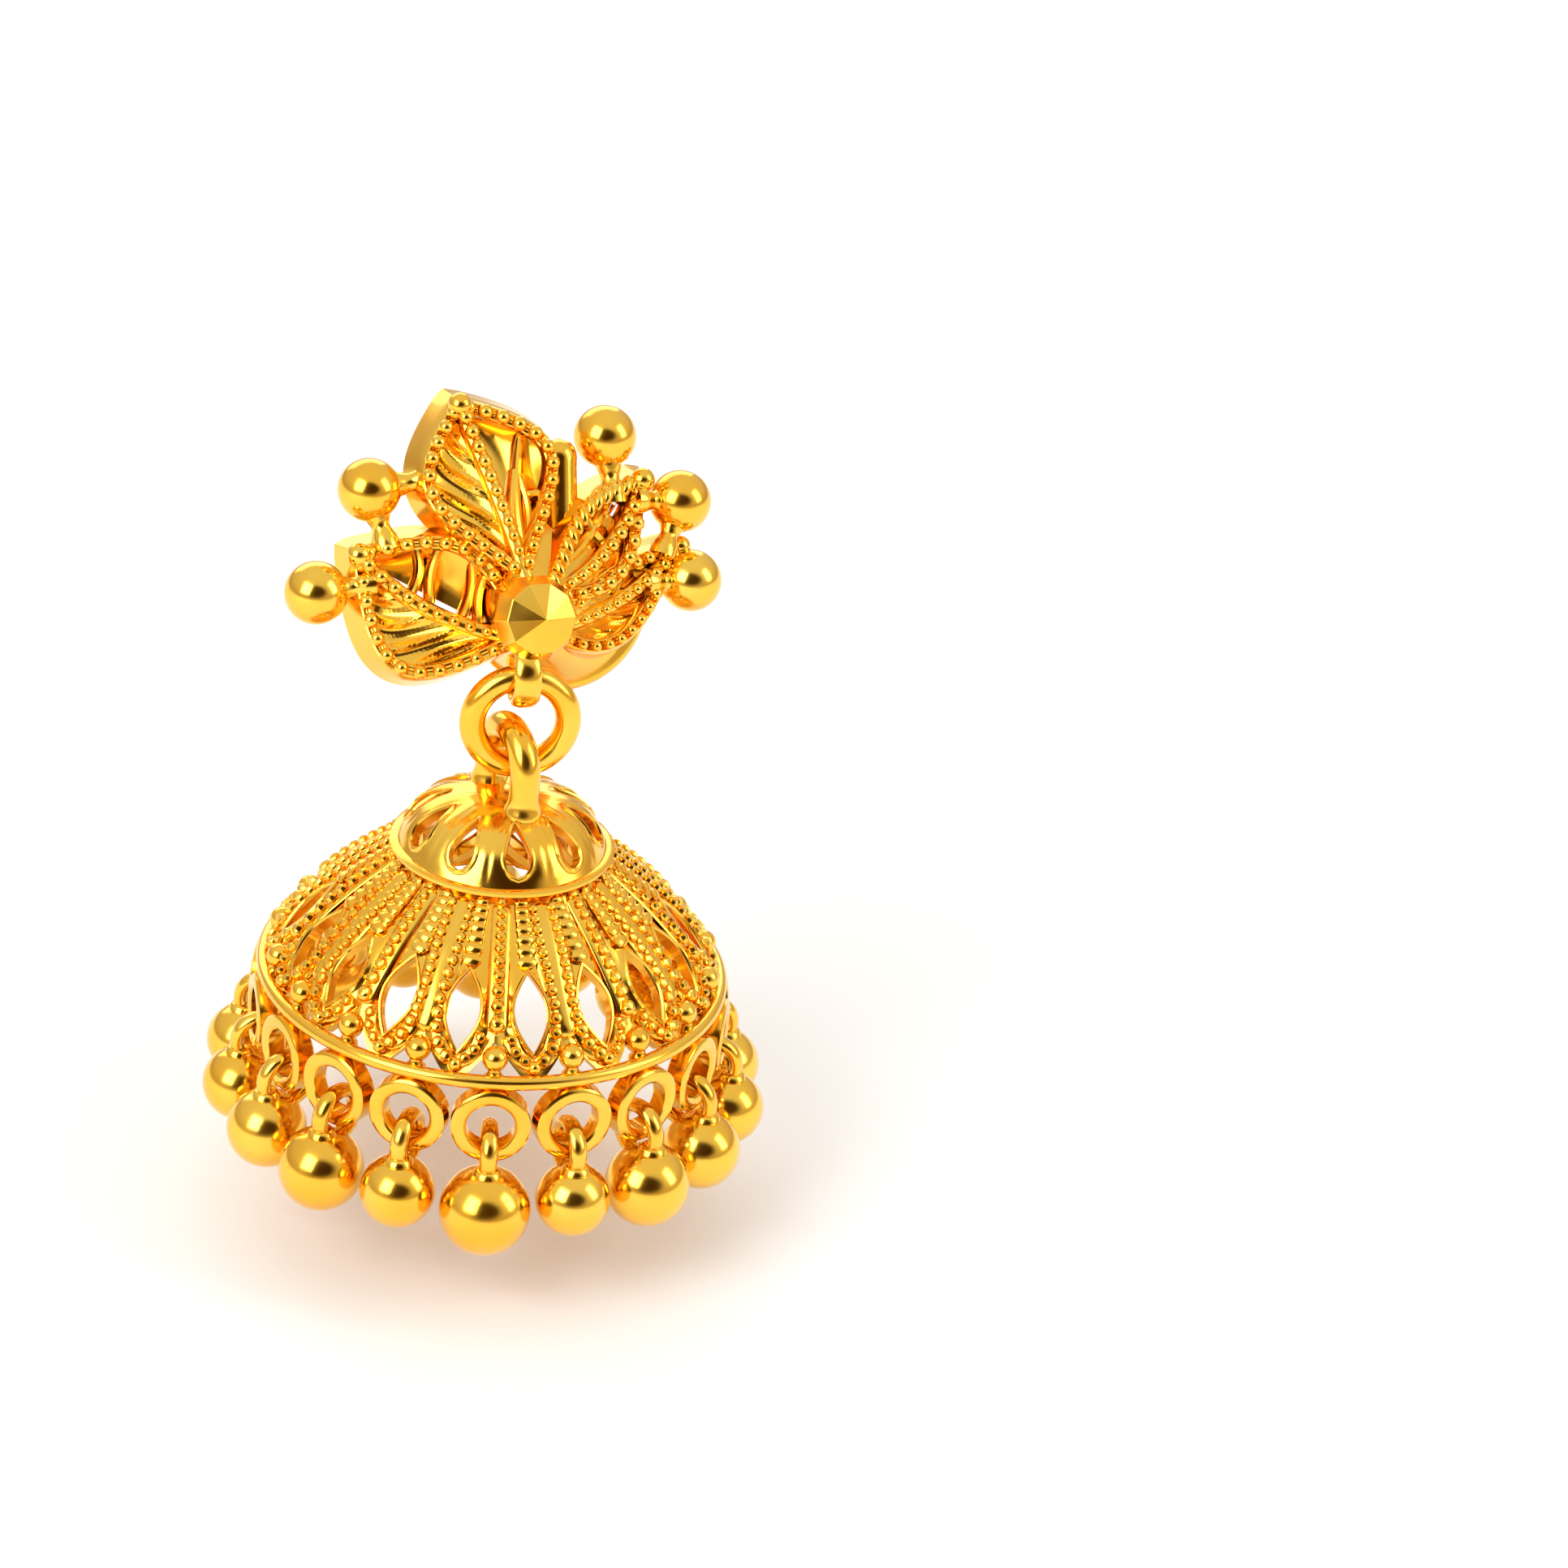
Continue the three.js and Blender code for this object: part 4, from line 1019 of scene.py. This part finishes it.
class EARRING_OT_dome_granules(bpy.types.Operator):
    """Rows of granules on the dome"""
    bl_idname = "earring.dome_granules"
    bl_label = "Dome granules"

    def row(self, angle, along, first, last, skips=(0, 0), wide=1.0, step=1.02, rise=1.0):
        """Granules along a row, whose radius runs from the first to the last, at steps near their own width:
        the place along grows with the sum of the widths so far."""
        line = dome_row(angle, along, GRANULE_LIFT - GRANULE_LIFT_FALL * along)
        lengths = lengths_along(line)
        reach = lengths[-1] - skips[0] - skips[1]
        share = np.linspace(0, 1, int(reach / (first + last) / step) + 1)
        at = skips[0] + reach * (share * first * 2 + share**2 * (last - first)) / (first + last)
        centre = read_off(at, lengths, line)
        size = first + (last - first) * share
        up = unit(read_off(at, lengths, dome_up(angle, along)))
        run = unit(np.gradient(centre, axis=0))
        axes = np.stack([np.cross(up, run), run, up], 1)
        return balls(centre, size[:, None] * (wide, 1.0, rise), 8, 5, axes)

    def execute(self, context):
        full = context.scene.earring_bell.granule / MM
        middle_row, top_row = np.linspace(*MIDDLE_GRANULES, 40), np.linspace(*TOP_GRANULES, 30)
        middles = 2 * PITCH * np.arange(MOTIFS)
        shapes = []
        for middle in middles:
            shapes.append(self.row(middle, middle_row, 1.12 * full, 0.78 * full))
            for side in (1, -1):
                centre = middle + side * HALF_PITCH
                shapes.append(self.row(centre, top_row, full, 0.66 * full, wide=1.45, step=0.8, rise=0.5))
                for angle, along, (first, last), skips in SIDE_ROWS:
                    shapes.append(self.row(centre + side * angle, along, first * full, last * full, skips))
        feet = dome_row(HALF_PITCH + PITCH * np.arange(PANELS), FOOT_BALL_ALONG, DOME_BALL_LIFT)
        ends = dome_row(middles, END_BALL_ALONG, DOME_BALL_LIFT)
        shapes += [balls(feet, FOOT_BALL * full, 14, 9), balls(ends, END_BALL * full, 14, 9)]
        piece("dome_granules", hung(*shapes), "bell", ["bell_dome"], "cast_gold")
        return {"FINISHED"}


class EARRING_OT_rim(bpy.types.Operator):
    """Rim wire of the bell, with a ball on a small foot under each band"""
    bl_idname = "earring.rim"
    bl_label = "Rim"

    def execute(self, context):
        radius = context.scene.earring_bell.rim_ball / MM
        wire = tube(circle((0, 0, DOME_RIM), RIM_RADIUS, RIGHT, BACK, 240), RIM_WIRE, 16, UP, close=True)
        rim_balls = balls(at_panels(RIM_BALL_CIRCLE, DOME_RIM + RIM_BALL_LIFT), radius, 24, 14)
        foot = shifted(turned(RIM_FOOT_ROWS, 16), (0, -RIM_FOOT_CIRCLE, DOME_RIM))
        piece("rim_wire", hung(wire, rim_balls, around(foot, PANEL_ANGLES)),
              "bell", ["bell_dome"], "polished_gold")
        return {"FINISHED"}


class EARRING_OT_fringe(bpy.types.Operator):
    """Flat rings under the rim that hold the drops: their faces bulge in a flattened half circle"""
    bl_idname = "earring.fringe"
    bl_label = "Fringe"

    def execute(self, context):
        share = np.linspace(-1, 1, 9)
        across = FRINGE_MIDDLE + (FRINGE_OUTER - FRINGE_INNER) / 2 * share
        front = np.stack([across, FRINGE_HALF + FRINGE_BULGE * np.sqrt(1 - 0.98 * share**2)], -1)
        rows = np.concatenate([front, front[::-1] * (1, -1)])
        ring = placed(turned(rows, 48, close=True),
                      lambda points: along_y(points) + (0, -RIM_RADIUS, FRINGE_CENTRE))
        piece("fringe_rings", hung(around(ring, PANEL_ANGLES)), "bell", ["bell_dome"], "cast_gold")
        return {"FINISHED"}


class EARRING_OT_drops(bpy.types.Operator):
    """Polished ball drops with their collars and strap loops"""
    bl_idname = "earring.drops"
    bl_label = "Ball drops"

    def execute(self, context):
        number = np.arange(PANELS)
        from_front = np.minimum(number, PANELS - number)
        radius = np.array(DROP_RADII)[np.minimum(from_front, PANELS // 2 - from_front)]
        top = FRINGE_CENTRE - FRINGE_OUTER - DROP_TOP
        path = circle((0, -RIM_RADIUS, FRINGE_CENTRE - FRINGE_MIDDLE), DROP_LOOP_RADIUS, BACK, UP, 40)
        loop = tube(path, DROP_LOOP_HALF, 14, RIGHT, close=True, flat=DROP_LOOP_FLAT)
        collar = shifted(turned(COLLAR_ROWS, 24), (0, -COLLAR_CIRCLE, top))
        drops = balls(at_panels(DROP_CIRCLE, top - radius), radius, 56, 36)
        names = [f"bead_drop_{index + 1:02d}" for index in range(PANELS)]
        piece("ball_drops", hung(drops, around(loop, PANEL_ANGLES), around(collar, PANEL_ANGLES)),
              "bell", names, "polished_gold")
        return {"FINISHED"}


class EARRING_OT_stage(bpy.types.Operator):
    """Pale floor, soft lights, room light and camera"""
    bl_idname = "earring.stage"
    bl_label = "Stage"

    def floor(self, colour):
        """A square with a faint cloudy noise in its colour."""
        material = bpy.data.materials.new("pale_floor")
        material.use_nodes = True
        tree = material.node_tree
        shader = tree.nodes["Principled BSDF"]
        shader.inputs["Roughness"].default_value = FLOOR_ROUGHNESS
        place, ramp = add_node(tree, "TexCoord"), add_node(tree, "ValToRGB")
        noise = add_node(tree, "TexNoise", Scale=FLOOR_NOISE)
        set_ramp(ramp, [(0, [FLOOR_SHADE * channel for channel in colour]), (1, colour)])
        join(tree, (place, "Object", noise, "Vector"), (noise, "Fac", ramp, "Fac"),
             (ramp, "Color", shader, "Base Color"))
        mesh = bpy.data.meshes.new("floor")
        sides = ((-1, -1), (1, -1), (1, 1), (-1, 1))
        corners = [(x * FLOOR_REACH * MM, y * FLOOR_REACH * MM, FLOOR_LEVEL * MM) for x, y in sides]
        mesh.from_pydata(corners, [], [(0, 1, 2, 3)])
        mesh.materials.append(material)
        made = bpy.data.objects.new("floor", mesh)
        bpy.context.scene.collection.objects.link(made)

    def camera_axes(self):
        """Directions from the earring to the camera, and to the right and up in its picture."""
        right = Vector((math.cos(CAMERA_AZIMUTH), math.sin(CAMERA_AZIMUTH), 0))
        level = Vector((math.sin(CAMERA_AZIMUTH), -math.cos(CAMERA_AZIMUTH), 0))
        toward = level * math.cos(CAMERA_ELEVATION) + Vector(UP) * math.sin(CAMERA_ELEVATION)
        return toward, right, toward.cross(right)

    def camera(self, lens):
        """The camera stands in front of the earring, to its left and above, so far off that the frame
        is as wide there as its named width. It looks past the earring to its right, and is rolled a little."""
        toward, right, rise = self.camera_axes()
        boss = Vector(flower_world(BOSS_AT)) * MM
        aim = boss + (right * AIM_STEP[0] + rise * AIM_STEP[1]) * MM
        data = bpy.data.cameras.new("camera")
        data.lens = lens
        data.sensor_width = SENSOR
        data.clip_start = 0.01
        made = bpy.data.objects.new("camera", data)
        eye = MIDDLE + toward * (FRAME_WIDTH * MM * lens / SENSOR)
        turn = (aim - eye).to_track_quat("-Z", "Y").to_matrix() @ Matrix.Rotation(CAMERA_ROLL, 3, "Z")
        made.matrix_world = Matrix.Translation(eye) @ turn.to_4x4()
        bpy.context.scene.collection.objects.link(made)
        bpy.context.scene.camera = made

    def room(self, strength):
        """Room light: a ramp by height, with a dark oval opening in front. The oval adds the squares of the
        directions to the right and up, each over its half size, and fades at its edge."""
        world = bpy.data.worlds.new("room")
        world.use_nodes = True
        tree = world.node_tree
        backdrop = tree.nodes["Background"]
        backdrop.inputs["Strength"].default_value = strength
        place, split, ramp, across, up, square, total = (add_node(tree, kind) for kind in (
            "TexCoord", "SeparateXYZ", "ValToRGB", "VectorMath", "VectorMath", "Math", "Math"))
        edge = add_node(tree, "MapRange", From_Min=FRONT_EDGE[0], From_Max=FRONT_EDGE[1])
        mix = add_node(tree, "MixRGB", Color1=(*FRONT_DARK, 1))
        set_ramp(ramp, SKY)
        _, right, rise = self.camera_axes()
        for node, axis in ((across, right / FRONT_WIDE), (up, rise / FRONT_HIGH)):
            node.operation = "DOT_PRODUCT"
            node.inputs[1].default_value = axis
        square.operation = "MULTIPLY"
        total.operation = "MULTIPLY_ADD"
        join(tree, (place, "Generated", split, "Vector"), (split, "Z", ramp, "Fac"),
             (place, "Generated", across, 0), (place, "Generated", up, 0),
             (across, "Value", square, 0), (across, "Value", square, 1),
             (up, "Value", total, 0), (up, "Value", total, 1), (square, "Value", total, 2),
             (total, "Value", edge, "Value"), (edge, "Result", mix, "Fac"),
             (ramp, "Color", mix, "Color2"), (mix, "Color", backdrop, "Color"))
        bpy.context.scene.world = world

    def softbox(self, name, place, size, radiance):
        """A soft light of the given width and height at a place, turned to the earring.
        Its power is its radiance times pi times its area."""
        lamp = bpy.data.lights.new(name, "AREA")
        lamp.shape = "RECTANGLE"
        lamp.size, lamp.size_y = size
        lamp.energy = radiance * math.pi * size[0] * size[1]
        made = bpy.data.objects.new(name, lamp)
        made.location = place
        made.rotation_mode = "QUATERNION"
        made.rotation_quaternion = (MIDDLE - Vector(place)).to_track_quat("-Z", "Y")
        bpy.context.scene.collection.objects.link(made)

    def execute(self, context):
        settings = context.scene.earring_stage
        self.floor(settings.floor)
        self.camera(settings.lens)
        self.room(settings.room)
        for name, (place, size, radiance) in SOFTBOXES.items():
            self.softbox(name, place, size, radiance * settings.boxes)
        context.scene.view_settings.view_transform = "Standard"
        return {"FINISHED"}


GROUPS = {"earring_gold": EarringGold, "earring_flower": EarringFlower,
          "earring_bell": EarringBell, "earring_stage": EarringStage}
OPERATORS = (EARRING_OT_petals, EARRING_OT_petal_granules, EARRING_OT_boss, EARRING_OT_flower_balls,
             EARRING_OT_backing, EARRING_OT_screw_back, EARRING_OT_jump_ring, EARRING_OT_bail, EARRING_OT_cap,
             EARRING_OT_dome, EARRING_OT_dome_granules, EARRING_OT_rim, EARRING_OT_fringe, EARRING_OT_drops,
             EARRING_OT_stage)


class EARRING_PT_panel(bpy.types.Panel):
    """Lists the earring's sizes and colours, and an operator for each piece"""
    bl_idname = "EARRING_PT_panel"
    bl_label = "Earring"
    bl_space_type = "VIEW_3D"
    bl_region_type = "UI"
    bl_category = "Earring"

    def draw(self, context):
        for name, group in GROUPS.items():
            box = self.layout.box()
            for entry in group.__annotations__:
                box.prop(getattr(context.scene, name), entry)
        for operator in OPERATORS:
            self.layout.operator(operator.bl_idname)


def register():
    for kind in (*GROUPS.values(), *OPERATORS, EARRING_PT_panel):
        bpy.utils.register_class(kind)
    for name, group in GROUPS.items():
        setattr(bpy.types.Scene, name, PointerProperty(type=group))


def unregister():
    for name in GROUPS:
        delattr(bpy.types.Scene, name)
    for kind in (EARRING_PT_panel, *reversed(OPERATORS), *reversed(list(GROUPS.values()))):
        bpy.utils.unregister_class(kind)


def main():
    """Builds the earring piece by piece, then the stage."""
    register()
    for operator in OPERATORS:
        family, call = operator.bl_idname.split(".")
        getattr(getattr(bpy.ops, family), call)()


if __name__ == "__main__":
    main()
